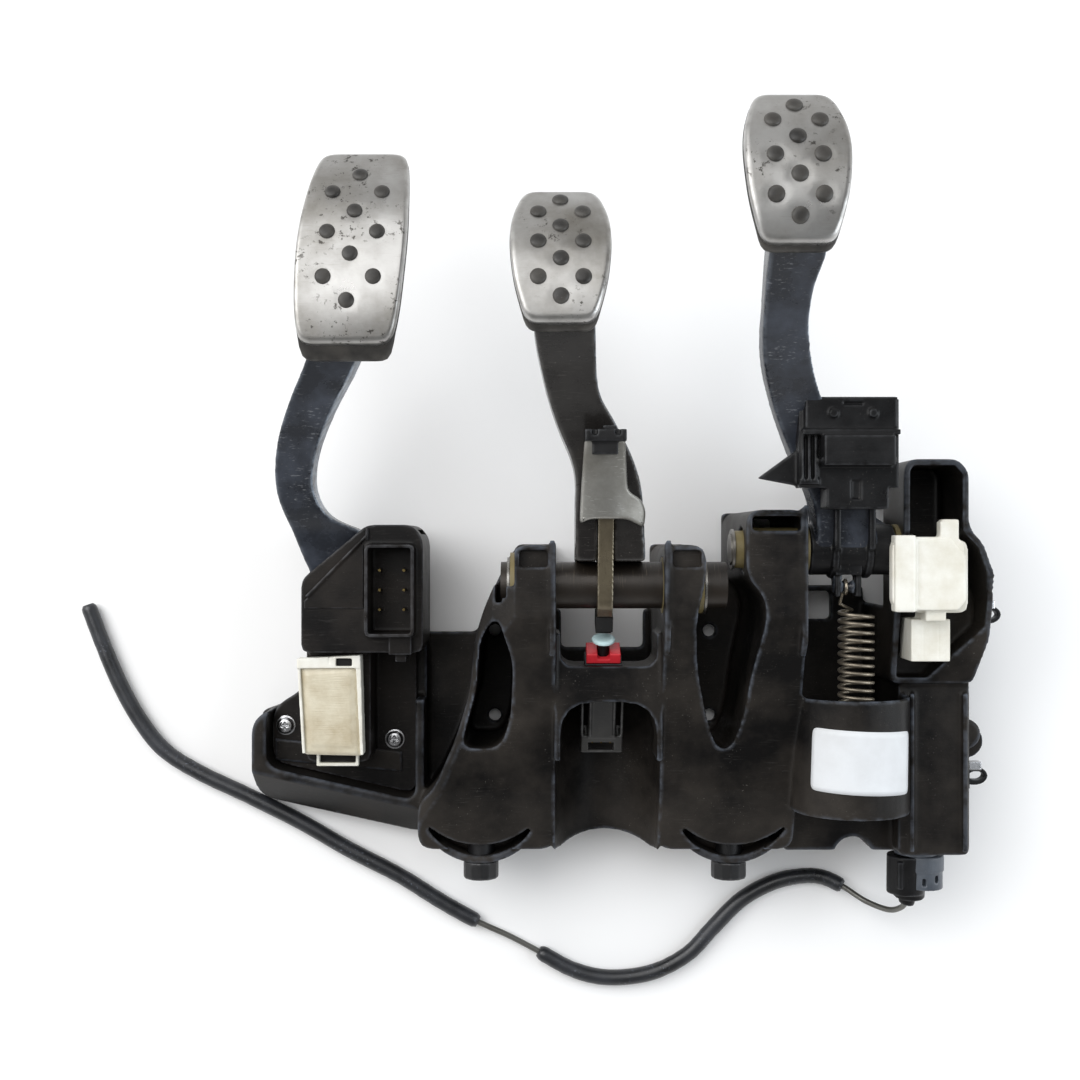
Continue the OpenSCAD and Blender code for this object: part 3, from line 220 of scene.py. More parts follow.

# %% [markdown]
# ## The finishes
#
# Each slot of the record gets its own finish. Black is never pure black: the bracket is a warm dark grey with
# pale dust, the pedal arms lean to blue, and the pivot tube to brown where old grease has dried.

# %% Finishes by slot
# The pale edge colours below are partly rubbed wear and partly painted highlight. The side shares on the arms
# paint a highlight, mixed with scuffs, on flanks that face right.
FINISH = {
    "bracket_plastic": used("bracket_black", srgb(13, 12, 12), srgb(50, 46, 42), 0.42, cloud=13, dust=0.3,
                            edge=0.8, edge_rub_and_highlight_colour=srgb(92, 98, 108), scratch=0.12,
                            scratch_colour=srgb(96, 94, 92), shine=0.14),
    "black_steel": used("phosphate_steel", srgb(24, 24, 25), srgb(38, 38, 40), 0.42, metal=0.35, edge=0.6,
                        edge_rub_and_highlight_colour=srgb(120, 120, 122)),
    "black_plastic": used("clip_black", srgb(16, 16, 17), srgb(28, 28, 29), 0.36, dust=0.3, edge=0.5,
                          edge_rub_and_highlight_colour=srgb(92, 94, 98), shine=0.18),
    "bright_steel": used("bright_screw_steel", srgb(205, 206, 208), srgb(170, 170, 172), 0.24, metal=1.0),
    "label_white": used("label_paper", srgb(214, 217, 220), srgb(204, 206, 208), 0.5, dust=0.25, bump=0.04),
    "bush_plastic": used("bush_nylon", srgb(120, 108, 70), srgb(90, 80, 50), 0.5, dust=0.5,
                         dust_colour=srgb(60, 52, 40)),
    "tube_steel": used("pivot_tube_steel", srgb(46, 40, 34), srgb(30, 26, 23), 0.4, metal=0.35, dust=0.4,
                       dust_colour=srgb(104, 94, 80), scratch=0.4, scratch_colour=srgb(100, 90, 76),
                       along=(14, 1, 1)),
    "lever_steel": used("lever_plate_steel", srgb(122, 113, 94), srgb(72, 64, 52), 0.32, metal=0.7, edge=0.7,
                        edge_rub_and_highlight_colour=srgb(206, 198, 178), scratch=0.7, scratch_colour=srgb(74, 66, 54),
                        along=(24, 2, 2)),
    "bare_steel": used("bare_steel", srgb(140, 138, 134), srgb(100, 96, 90), 0.32, metal=0.9),
    "spring_steel": used("spring_wire", srgb(150, 141, 126), srgb(104, 97, 86), 0.34, metal=0.8),
    "black_rubber": used("bumper_rubber", srgb(16, 16, 16), srgb(26, 26, 26), 0.62, dust=0.3, shine=0.3),
    "brake_arm_plastic": used("brake_arm_gloss", srgb(27, 25, 24), srgb(40, 38, 36), 0.27, dust=0.3, edge=0.4,
                              edge_rub_and_highlight_colour=srgb(124, 122, 118), scratch=0.12, coat=0.3,
                              scratch_colour=srgb(130, 126, 120), side=0.3, shine=0.3),
    "clip_zinc": used("zinc_plate", srgb(158, 157, 152), srgb(118, 116, 110), 0.36, metal=0.75, scratch=0.5,
                      scratch_colour=srgb(205, 204, 200)),
    "pad_rubber": used("pad_rubber", srgb(30, 29, 28), srgb(62, 59, 55), 0.44, cloud=38, dust=0.4, edge=0.5,
                       edge_rub_and_highlight_colour=srgb(108, 106, 102), shine=0.35),
    "switch_plastic": used("switch_grey", srgb(34, 34, 34), srgb(52, 51, 49), 0.4, dust=0.4, edge=0.6,
                           edge_rub_and_highlight_colour=srgb(112, 112, 112)),
    "red_plastic": used("lock_red", srgb(206, 44, 54), srgb(176, 34, 44), 0.4, dust=0.3),
    "contact_brass": used("contact_brass", srgb(112, 98, 62), srgb(84, 72, 46), 0.34, metal=1.0),
    "plunger_plastic": used("plunger_blue", srgb(200, 226, 228), srgb(182, 212, 216), 0.36, dust=0.15),
    "arm_plastic": used("pedal_arm_plastic", srgb(32, 35, 41), srgb(62, 67, 77), 0.32, dust=0.3, edge=0.5,
                        edge_rub_and_highlight_colour=srgb(140, 148, 158), scratch=0.16, scratch_colour=WHITE_SCUFF,
                        along=(3, 9, 9), side=0.85, shine=0.35),
    "white_plastic": used("switch_white", srgb(228, 227, 219), srgb(208, 204, 190), 0.4, cloud=40, dust=0.3,
                          dust_colour=srgb(150, 140, 112)),
    "piston_alloy": used("piston_alloy", srgb(176, 178, 182), srgb(150, 152, 156), 0.3, metal=1.0),
    "cylinder_plastic": used("cylinder_blue_grey", srgb(62, 68, 76), srgb(86, 92, 100), 0.38, dust=0.4,
                             edge=0.4, edge_rub_and_highlight_colour=srgb(128, 132, 140)),
    "pipe_steel": used("pipe_coated_steel", srgb(112, 112, 108), srgb(84, 82, 78), 0.36, metal=0.7),
    "sleeve_rubber": used("sleeve_rubber", srgb(28, 29, 31), srgb(44, 46, 51), 0.36, dust=0.25, scratch=0.55,
                          scratch_colour=srgb(108, 114, 126), along=(6, 6, 1)),
    "housing_plastic": used("housing_black", srgb(14, 13, 13), srgb(40, 36, 33), 0.42, cloud=18, dust=0.3,
                            edge=0.7, edge_rub_and_highlight_colour=srgb(92, 93, 97), scratch=0.1,
                            scratch_colour=srgb(110, 108, 104), shine=0.14),
    "cream_plastic": used("cap_cream", srgb(206, 199, 178), srgb(176, 164, 138), 0.34, cloud=42, dust=0.25,
                          dust_colour=srgb(120, 108, 84), grain=160, bump=0.5, edge=0.7,
                          edge_rub_and_highlight_colour=srgb(230, 229, 222)),
    "board_laminate": used("board_green", srgb(36, 92, 56), srgb(28, 74, 46), 0.4),
}
print("finishes:", len(FINISH))

# %% [markdown]
# The steel of the pads is its own recipe. It is brushed across the pad, so the scratches run in X and the
# highlight is drawn out, and dark flecks of shoe dirt sit in small groups.

# %% Pad steel
SHOE_DIRT = srgb(52, 48, 44)


def brushed_pad_steel():
    # Its pale edge colour is partly wear and partly a painted highlight on the rims and the hole edges.
    material = used("pad_steel_brushed", srgb(164, 163, 161), srgb(120, 117, 111), 0.33, metal=0.85, cloud=17,
                    scratch=0.35, scratch_colour=srgb(112, 106, 98), along=(1, 30, 30), grain=500, bump=0.06,
                    spread=0.07, edge=0.7, edge_rub_and_highlight_colour=srgb(222, 221, 219))
    tree = material.node_tree
    surface = tree.nodes["Principled BSDF"]
    place = add(tree, "TexCoord").outputs["Object"]
    flecks = times(tree, between(tree, noise(tree, place, 230, 4, 0.72), 0.58, 0.64),
                   between(tree, noise(tree, place, 28, 2), 0.5, 0.59))
    plain = surface.inputs["Base Color"].links[0].from_socket
    feed(tree, surface.inputs["Base Color"], mixed(tree, times(tree, flecks, 0.85), plain, SHOE_DIRT))
    surface.inputs["Anisotropic"].default_value = 0.35
    return material


FINISH["pad_steel"] = brushed_pad_steel()
missing = sorted(set(slot_of.values()) - set(FINISH))
print("slots without a finish:", missing)

# %% [markdown]
# ## Placing pieces
#
# A piece that stands for a CAD node takes that node's body and slot from the record, so its motion and its
# finish can't drift from the CAD. A piece that only adds detail names the node that it sits on.

# %% Placing helpers
def new_piece(name, verts, faces):
    mesh = bpy.data.meshes.new(name)
    mesh.from_pydata([tuple(v) for v in verts], [], faces)
    mesh.validate()
    mesh.polygons.foreach_set("use_smooth", [True] * len(mesh.polygons))
    piece = bpy.data.objects.new(name, mesh)
    scene.collection.objects.link(piece)
    return piece


def settle(piece):
    """Turns the modifiers into plain mesh, so the piece is final before it is given to a body."""
    bpy.context.view_layer.update()
    solid = piece.evaluated_get(bpy.context.evaluated_depsgraph_get())
    mesh = bpy.data.meshes.new_from_object(solid)
    piece.modifiers.clear()
    piece.data = mesh
    mesh.polygons.foreach_set("use_smooth", [True] * len(mesh.polygons))
    return piece


def sits_on(piece, node, slot=None):
    slot = slot or slot_of[node]
    piece.data.materials.clear()
    piece.data.materials.append(FINISH[slot])
    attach(piece, body_of[node])
    return piece


def stands_for(piece, *nodes):
    sits_on(piece, nodes[0])
    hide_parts(*nodes)
    return piece


print("placing helpers ready")

# %% [markdown]
# ## The clutch pipe and its sleeves
#
# The steel pipe leaves the master cylinder, drops to the floor and was cut off short, so its end is bare. It
# could be one mesh tube, but a curve keeps its length measurable. The route repeats the CAD's points, and a
# smooth curve through them gives the bends. The rubber sleeves are tubes over stretches of the same route.

# %% Route of the pipe
OUTLET = np.array([206.0, -152.0, 44.03])
PIPE_Z = 5.6
FLOOR_ROUTE = [(155, -145), (138, -145), (119, -150), (98, -162), (78, -182), (62, -199), (41, -211),
               (20, -216), (-2, -216), (-23, -210), (-45, -198), (-66, -187), (-88, -177), (-115, -162),
               (-144, -144), (-179, -126), (-214, -106), (-250, -88), (-286, -71), (-311, -55), (-328, -34),
               (-342, -9), (-354, 19), (-365, 48)]
route = [OUTLET, OUTLET + (-2, -6, -5), OUTLET + (-9, -10, -14), (184, -159, 18), (170, -151, 9)]
route = np.array(route + [(x, y, PIPE_Z) for x, y in FLOOR_ROUTE]) * MM


def smooth_through(points, steps):
    """A smooth curve that passes through every point."""
    p = np.asarray(points, float)
    last = len(p) - 1
    curve = []
    for i in range(last):
        a, b, c, d = p[max(i - 1, 0)], p[i], p[i + 1], p[min(i + 2, last)]
        for t in np.arange(steps) / steps:
            curve.append(0.5 * (2 * b + (c - a) * t + (2 * a - 5 * b + 4 * c - d) * t ** 2
                                + (3 * b - a - 3 * c + d) * t ** 3))
    return np.array(curve + [p[last]])


ROUTE_STEPS = 10
pipe_line = smooth_through(route, ROUTE_STEPS)

# %% Pipe as a curve
PIPE_D = 4 * MM
pipe_curve = bpy.data.curves.new("clutch_pipe_run", "CURVE")
pipe_curve.dimensions = "3D"
pipe_curve.bevel_depth = PIPE_D / 2
pipe_curve.bevel_resolution = 4
pipe_curve.use_fill_caps = True
strand = pipe_curve.splines.new("POLY")
strand.points.add(len(pipe_line) - 1)
for point, place in zip(strand.points, pipe_line):
    point.co = (*place, 1)
pipe = bpy.data.objects.new("clutch_pipe_run", pipe_curve)
scene.collection.objects.link(pipe)
stands_for(pipe, "clutch_pipe")
print("pipe points:", len(strand.points))

# %% Tubes along a line
# A direction that no line below starts along, to find the first ring's sides.
ASKEW = (0.31, 0.17, 0.94)


def tube(name, line, radius, sides):
    """A closed tube. The frame of each ring is carried along the line, so the tube doesn't twist."""
    line = np.asarray(line, float)
    radii = np.broadcast_to(radius, len(line))
    ways = np.gradient(line, axis=0)
    ways /= np.linalg.norm(ways, axis=1)[:, None]
    side = np.cross(ways[0], ASKEW)
    verts = []
    for centre, way, r in zip(line, ways, radii):
        side = side - way * side.dot(way)
        side /= np.linalg.norm(side)
        other = np.cross(way, side)
        for k in range(sides):
            a = 2 * math.pi * k / sides
            verts.append(centre + r * (math.cos(a) * side + math.sin(a) * other))
    steps = [(i * sides, k, (k + 1) % sides) for i in range(len(line) - 1) for k in range(sides)]
    faces = [(first + k, first + n, first + sides + n, first + sides + k) for first, k, n in steps]
    faces += [tuple(range(sides))[::-1], tuple(len(verts) - sides + k for k in range(sides))]
    return new_piece(name, verts, faces)


# Each sleeve covers the stretch between two points of the route.
SLEEVE_R = 5.5 * MM
SLEEVES = (("pipe_sleeve_short", 4, 15), ("pipe_sleeve_long", 17, 28))
for node, first, last in SLEEVES:
    stretch = pipe_line[first * ROUTE_STEPS:last * ROUTE_STEPS + 1]
    steps = np.arange(len(stretch))
    wobble = 1 - 0.035 * np.abs(np.sin(steps * 0.9)) * (np.sin(steps * 0.13) > 0.2)
    from_end = np.minimum(steps, steps[::-1])
    rounding = np.where(from_end == 0, 0.72, np.where(from_end == 1, 0.95, 1))
    sleeve = tube(node + "_hose", stretch, SLEEVE_R * wobble * rounding, 16)
    stands_for(sleeve, node)

# %% [markdown]
# ## Moulded copies of CAD solids
#
# CAD edges are sharp, and no moulded plastic has sharp edges. Bevels often break on the small faces that
# cut-outs leave. A voxel remesh followed by a few rounds of smoothing can't break: it gives every edge the
# same soft radius, and dense points where the wear recipe looks for edges. Flat areas are thinned afterwards.

# %% Moulding helpers
MOULDED_KEEP = 0.5
WELD_GAP = 0.01 * MM


def remesh(piece, voxel):
    grid = piece.modifiers.new("grid", "REMESH")
    grid.mode = "VOXEL"
    grid.voxel_size = voxel * MM


def soften(piece, rounds, keep):
    """Smooths the voxel mesh, thins it to the share to keep and makes it final."""
    soft = piece.modifiers.new("soft", "SMOOTH")
    soft.factor = 0.5
    soft.iterations = rounds
    thin = piece.modifiers.new("thin", "DECIMATE")
    thin.ratio = keep
    settle(piece)
    print(piece.name, "faces:", len(piece.data.polygons))


def moulded(node, name, voxel, rounds, cutter=None):
    piece = bpy.data.objects.new(name, frame["nodes"][node].data.copy())
    scene.collection.objects.link(piece)
    weld = piece.modifiers.new("weld", "WELD")
    weld.merge_threshold = WELD_GAP
    if cutter:
        cut = piece.modifiers.new("cut", "BOOLEAN")
        cut.object = cutter
    remesh(piece, voxel)
    soften(piece, rounds, MOULDED_KEEP)
    return stands_for(piece, node)


def box_mesh(low, high):
    xs, ys, zs = zip(low, high)
    verts = [(x * MM, y * MM, z * MM) for z in zs for y in ys for x in xs]
    return verts, [(0, 2, 3, 1), (4, 5, 7, 6), (0, 1, 5, 4), (2, 6, 7, 3), (0, 4, 6, 2), (1, 3, 7, 5)]


print("moulding helpers ready")

# %% [markdown]
# Each moulding below has a voxel size in millimetres and a number of smoothing rounds. The front of the brake
# arm is cut away first where the pivot tube crosses it, so that the tube shows, as it does in the photograph.

# %% Moulded pieces
TUBE_FRONT = ((-40, 40, 101), (40, 80.5, 150))
moulded("bracket", "bracket_moulding", 1.3, 3)
tube_front = new_piece("tube_front", *box_mesh(*TUBE_FRONT))
moulded("brake_arm", "brake_arm_soft", 1.2, 14, tube_front)
bpy.data.objects.remove(tube_front)
MOULDINGS = (("clutch_arm", 1.2, 10), ("accel_arm", 1.2, 14), ("accel_housing", 1.0, 4),
             ("clutch_switch_body", 0.9, 4), ("master_cylinder", 0.9, 3), ("brake_lever", 0.6, 2),
             ("column_nuts", 0.8, 3))
for node, voxel, rounds in MOULDINGS:
    moulded(node, node + "_soft", voxel, rounds)

# %% [markdown]
# ## Pads: steel covers over rubber
#
# Each pad is a bowed steel cover with pressed holes, and rubber behind it whose nubs stand through the holes.
# A sheet with holes is easiest to lay out flat: a triangulation that respects the outline and the holes, with
# some inner points, then bent to the bow. The rim is rings that roll over the edge.

# %% Pad outlines and nub places
FOOT_W, FOOT_L = 59, 91
ACCEL_W, ACCEL_L = 66, 129
FOOT_HALF = [(0.58, -1), (0.69, -0.95), (0.8, -0.76), (0.93, -0.42), (1, 0.05), (0.97, 0.4), (0.86, 0.7),
             (0.75, 0.9), (0.6, 1)]
ACCEL_HALF = [(0.77, -1), (0.86, -0.95), (0.95, -0.7), (0.99, -0.35), (1, 0), (0.96, 0.35), (0.89, 0.7),
              (0.81, 0.93), (0.7, 1)]
ACCEL_SLANT = 0.06


def even_ring(corners, count, rounds):
    """Points at even steps round a closed outline, with its corners eased."""
    closed = np.vstack([corners, corners[:1]])
    travel = np.concatenate([[0], np.cumsum(np.linalg.norm(np.diff(closed, axis=0), axis=1))])
    even = np.linspace(0, travel[-1], count, endpoint=False)
    ring = np.stack([np.interp(even, travel, closed[:, k]) for k in (0, 1)], axis=1)
    for _ in range(rounds):
        ring = 0.5 * ring + 0.25 * (np.roll(ring, 1, axis=0) + np.roll(ring, -1, axis=0))
    return ring


def pad_outline(width, length, half, slant):
    right = smooth_through([(x * width / 2, y * length / 2) for x, y in half], 5)
    left = right[::-1] * (-1, 1)
    ring = even_ring(np.concatenate([right, left]), 110, 3)
    ring[:, 0] += slant * ring[:, 1]
    return ring


def nub_places(step, side, shift, slant):
    middle = [(0, k * step + shift) for k in (-3, -1, 1, 3)]
    sides = [(s, k * step + shift) for k in (-2, 0, 2) for s in (-side, side)]
    return [(x + slant * y, y) for x, y in middle + sides]


def pulled_in(ring, d):
    """The outline moved inwards by d; negative moves it out. The points run anticlockwise."""
    edge = np.roll(ring, -1, axis=0) - np.roll(ring, 1, axis=0)
    edge /= np.linalg.norm(edge, axis=1)[:, None]
    return ring + d * np.stack([-edge[:, 1], edge[:, 0]], axis=1)


print("foot pad points:", len(pad_outline(FOOT_W, FOOT_L, FOOT_HALF, 0)))

# %% A flat sheet with holes
def inside(points, ring):
    x, y = points[:, 0][:, None], points[:, 1][:, None]
    a, b = ring, np.roll(ring, -1, axis=0)
    crosses = (a[:, 1] > y) != (b[:, 1] > y)
    with np.errstate(divide="ignore", invalid="ignore"):
        at = a[:, 0] + (y - a[:, 1]) / (b[:, 1] - a[:, 1]) * (b[:, 0] - a[:, 0])
    return (crosses & (x < at)).sum(axis=1) % 2 == 1


def sheet_faces(ring, holes, spacing=4.0):
    """Triangles inside the outline and outside the holes. The outline's and holes' points come first."""
    loops = [ring] + holes
    points, edges = [], []
    for loop in loops:
        first = len(points)
        points += [tuple(p) for p in loop]
        edges += [(first + k, first + (k + 1) % len(loop)) for k in range(len(loop))]
    low, high = ring.min(axis=0), ring.max(axis=0)
    columns, rows = [np.arange(low[k], high[k], spacing) for k in (0, 1)]
    grid = np.array([(x, y) for x in columns for y in rows])
    clear = inside(grid, pulled_in(ring, 1.5))
    for hole in holes:
        middle = hole.mean(axis=0)
        clear &= np.linalg.norm(grid - middle, axis=1) > np.linalg.norm(hole - middle, axis=1).max() + 1.2
    points += [tuple(p) for p in grid[clear]]
    out = delaunay_2d_cdt([Vector(p) for p in points], edges, [], 4, 1e-6)
    return np.array([tuple(v) for v in out[0]]), [tuple(f) for f in out[2]]


print("sheet helper ready")

# %% Building one pad
COVER_T, RIM_R, SKIRT = 0.9, 2.4, 4.4
NUB_R, HOLE_R, NUB_SIDES = 4.845, 6.6, 20
# Rings of a nub as share of its radius and height, and of the rubber as inset from the outline and depth.
NUB_ROWS = ((1.0, -2.6), (1.0, 0.3), (0.95, 0.9), (0.8, 1.5), (0.55, 1.85), (0.25, 2.0))
RUBBER_ROWS = ((3.4, 2.2), (1.7, 2.4), (1.3, 3.2), (1.2, 4.6), (0.1, 5.0), (-0.3, 6.0), (-0.2, 7.2),
               (0.8, 8.2), (3.4, 8.5))
LIP_DEPTH, LIP_REACH = 4.8, 9


def bent(points, depth, bow):
    """Flat points laid on the bow, the given depth below the pad's face."""
    x, y = points[:, 0], points[:, 1]
    r = bow - depth
    return np.stack([x, y, np.sqrt(np.maximum(r * r - y * y, 0)) - bow], axis=1)


def stitch(first, second, count):
    return [(first + k, first + (k + 1) % count, second + (k + 1) % count, second + k) for k in range(count)]


def pressed_sheet(ring, holes, lay, rim, rows):
    """A sheet with holes. Its edge rolls over by rim and the hole edges turn in, as a press leaves them."""
    flat, faces = sheet_faces(pulled_in(ring, rim + 1), holes)
    verts, count, previous, size = [lay(flat, 0)], len(flat), 0, len(ring)
    roll = [(rim * (1 - math.sin(a)), rim * (1 - math.cos(a))) for a in np.radians([22, 45, 68, 90])]
    for inset, depth in [(rim, 0)] + roll + rows:
        verts.append(lay(pulled_in(ring, inset), depth))
        faces += [f[::-1] for f in stitch(previous, count, size)]
        previous, count = count, count + size
    first = size
    for hole in holes:
        middle, previous, size = hole.mean(axis=0), first, len(hole)
        reach = np.linalg.norm(hole - middle, axis=1)[:, None]
        for inwards, depth in ((0.4, 0.05), (0.8, 0.3), (1.1, 0.8), (1.2, 1.6)):
            verts.append(lay(middle + (hole - middle) * (reach - inwards) / reach, depth))
            faces += stitch(previous, count, size)
            previous, count = count, count + size
        first += size
    return np.concatenate(verts), faces


def cover_mesh(ring, places, bow):
    turn = np.arange(NUB_SIDES) * 2 * math.pi / NUB_SIDES
    circle = HOLE_R * np.stack([np.cos(turn), np.sin(turn)], axis=1)
    holes = [circle + (u, bow * math.sin(v / bow)) for u, v in places]
    return pressed_sheet(ring, holes, lambda points, depth: bent(points, depth, bow), RIM_R, [(0, SKIRT)])


def rubber_mesh(ring, places, bow, lip):
    """The rubber behind a cover: a face, an edge with a lip at the lower end, a back and the nubs."""
    size = len(ring)
    end = ring[:, 1].min()
    flat, faces = sheet_faces(pulled_in(ring, RUBBER_ROWS[0][0]), [], 6)
    verts, count, previous = [bent(flat, RUBBER_ROWS[0][1], bow)], len(flat), 0
    for inset, depth in RUBBER_ROWS[1:]:
        row = pulled_in(ring, inset)
        if depth > LIP_DEPTH:
            low = np.clip((end + LIP_REACH - row[:, 1]) / LIP_REACH, 0, 1)
            row[:, 1] -= lip * low * low * (3 - 2 * low)
        verts.append(bent(row, depth, bow))
        faces += [f[::-1] for f in stitch(previous, count, size)]
        previous, count = count, count + size
    low_flat, low_faces = sheet_faces(row, [], 6)
    verts.append(bent(low_flat, RUBBER_ROWS[-1][1], bow))
    faces += [tuple(count + i for i in f)[::-1] for f in low_faces]
    faces += [f[::-1] for f in stitch(previous, count, size)]
    count += len(low_flat)
    turn = np.arange(NUB_SIDES) * 2 * math.pi / NUB_SIDES
    for u, v in places:
        swing = Matrix.Translation((u, 0, -bow)) @ Matrix.Rotation(-v / bow, 4, "X")
        swing = swing @ Matrix.Translation((0, 0, bow))
        previous = None
        for share, z in NUB_ROWS:
            r = NUB_R * share
            circle = [swing @ Vector((r * math.cos(a), r * math.sin(a), z)) for a in turn]
            verts.append(np.array(circle))
            if previous is None:
                faces.append(tuple(count + k for k in range(NUB_SIDES))[::-1])
            else:
                faces += stitch(previous, count, NUB_SIDES)
            previous, count = count, count + NUB_SIDES
        faces.append(tuple(previous + k for k in range(NUB_SIDES)))
    return np.concatenate(verts), faces


def thicken(piece, thickness):
    shell = piece.modifiers.new("thickness", "SOLIDIFY")
    shell.thickness = thickness * MM
    shell.offset = -1
    return settle(piece)


def make_pad(name, ring, places, place, tilt, bow, lip):
    world = Matrix.Translation(Vector(place)) @ Matrix.Rotation(-math.radians(tilt), 4, "X")
    sheets = {"cover": cover_mesh(ring, places, bow), "rubber": rubber_mesh(ring, places, bow, lip)}
    for part, (verts, faces) in sheets.items():
        piece = new_piece(f"{name}_{part}_sheet", [(world @ Vector(v)) * MM for v in verts], faces)
        if part == "cover":
            thicken(piece, COVER_T)
        stands_for(piece, f"{name}_{part}")
        print(piece.name, "faces:", len(piece.data.polygons))


foot_ring = pad_outline(FOOT_W, FOOT_L, FOOT_HALF, 0)
foot_nubs = nub_places(11.5, 13, 1.2, 0)
accel_ring = pad_outline(ACCEL_W, ACCEL_L, ACCEL_HALF, ACCEL_SLANT)
accel_nubs = nub_places(14.4, 15, 1.5, ACCEL_SLANT)
make_pad("brake_pad", foot_ring, foot_nubs, (-32, 266, 191), tilt=24, bow=100, lip=2)
make_pad("clutch_pad", foot_ring, foot_nubs, (97, 303, 239), tilt=15, bow=100, lip=2)
make_pad("accel_pad", accel_ring, accel_nubs, (-157, 278, 160), tilt=17, bow=150, lip=7)

# %% [markdown]
# ## The zinc clip on the brake arm
#
# A strap runs up the arm and a band wraps across it, both cut from one sheet. It is laid out flat like the
# pad covers, with a slot near its top, and bent over the arm: higher towards the pad, and falling to both
# sides.

# %% Pushrod clip
CLIP_CORNERS = np.array([(-19.5, 103.5), (-14, 107), (10, 107), (17, 103.5), (21, 101.5), (22, 112),
                         (19, 119), (10, 124), (8.5, 141), (7.5, 156), (-17, 156), (-18.5, 128)])
CLIP_SLOT = np.array([(-12, 146.5), (2.5, 146.5), (2.5, 151.5), (-12, 151.5)])
CLIP_RISE = ((97, 138), (117, 143), (133, 149), (157, 160))
CLIP_X, CLIP_FALL = -5, 0.016
CLIP_T, CLIP_RIM = 1.0, 1.6


def over_the_arm(points, depth):
    x, y = points[:, 0], points[:, 1]
    rise = np.interp(y, *zip(*CLIP_RISE))
    return np.stack([x, y, rise - CLIP_FALL * (x - CLIP_X) ** 2 - depth], axis=1)


outline, slot = even_ring(CLIP_CORNERS, 96, 3), even_ring(CLIP_SLOT, 24, 1)
verts, faces = pressed_sheet(outline, [slot], over_the_arm, CLIP_RIM, [(0, 5), (0, 9)])
clip = thicken(new_piece("pushrod_clip_sheet", verts * MM, faces), CLIP_T)
stands_for(clip, "pushrod_clip")
print("clip faces:", len(clip.data.polygons))

# %% [markdown]
# ## Cast details
#
# Small moulded boxes have lids, ribs and ears that would be slow to model edge by edge. Instead, simple
# blocks, prisms and rods are piled up where they belong, cutters are taken away, and the same voxel remesh
# melts the pile into one moulding with soft edges. Sizes are in millimetres.

# %% Casting helpers
ROD_SIDES = 32
CAST_KEEP = 0.6


def prism(points, z0, z1):
    n = len(points)
    verts = [(x, y, z) for z in (z0, z1) for x, y in points]
    return verts, [tuple(range(n))[::-1], tuple(range(n, 2 * n))] + stitch(0, n, n)


def block(x0, x1, y0, y1, z0, z1):
    return prism([(x0, y0), (x1, y0), (x1, y1), (x0, y1)], z0, z1)


def rod(start, end, radius):
    start, end = Vector(start), Vector(end)
    turn = (end - start).to_track_quat("Z", "Y").to_matrix()
    angles = [2 * math.pi * k / ROD_SIDES for k in range(ROD_SIDES)]
    circle = [(radius * math.cos(a), radius * math.sin(a)) for a in angles]
    verts, faces = prism(circle, 0, (end - start).length)
    return [tuple(start + turn @ Vector(v)) for v in verts], faces


def piled(name, shapes):
    verts, faces = [], []
    for shape_verts, shape_faces in shapes:
        faces += [tuple(len(verts) + i for i in f) for f in shape_faces]
        verts += shape_verts
    return new_piece(name, np.array(verts) * MM, faces)


def cast(name, shapes, voxel, rounds, cuts=()):
    """One moulding out of a pile of shapes. The cuts must not overlap each other, or nothing is left."""
    piece = piled(name, shapes)
    remesh(piece, voxel)
    if cuts:
        cutter = piled(name + "_cutter", cuts)
        cut = piece.modifiers.new("cut", "BOOLEAN")
        cut.object = cutter
        cut.solver = "EXACT"
        remesh(piece, voxel)
    soften(piece, rounds, CAST_KEEP)
    if cuts:
        bpy.data.objects.remove(cutter)
    return piece


print("casting helpers ready")

# %% [markdown]
# The first piles are the black latch at the top of the zinc clip, the sensor box on the clutch arm, the spool
# round the clutch hub, and the white switch with its plug.

# %% Latch at the top of the zinc clip
latch = [block(-12.6, 3, 145.6, 152.4, 146, 160), block(-17, 8, 153.4, 160.5, 148, 163),
         block(-6, 2, 160, 163, 150, 160)]
latch_cuts = [block(x, x + 3.5, 157, 164, 161, 166) for x in (-13, 1)]
sits_on(cast("pushrod_clip_latch", latch, 0.6, 2, latch_cuts), "brake_arm", "black_plastic")

# %% Clutch sensor
sensor = [block(114, 175, 126, 180, 134, 146), block(117, 173, 160, 181, 140, 151),
          block(115.5, 174.5, 158, 161, 140, 153), block(127, 170, 139, 157, 144, 160),
          block(125.5, 171.5, 141, 143.5, 144, 157), block(131, 169, 113, 141, 124, 146),
          block(114, 126, 128, 131, 144, 149), prism([(90, 132), (116, 127), (116, 151)], 134, 141)]
sensor += [block(x, x + 1.8, 130, 158, 144, 149.5) for x in (115, 119, 123)]
sensor += [rod((x, 171, 148), (x, 171, 152.6), 2.6) for x in (134, 158)]
sensor_cuts = [block(133, 164, 146.5, 148, 158.5, 165), block(146, 152, 119, 131, 144.5, 150),
               block(140, 152, 176, 178, 149.5, 160)]
sensor_piece = cast("clutch_sensor_moulding", sensor, 0.7, 3, sensor_cuts)
stands_for(sensor_piece, "clutch_sensor_case", "clutch_sensor_cap")

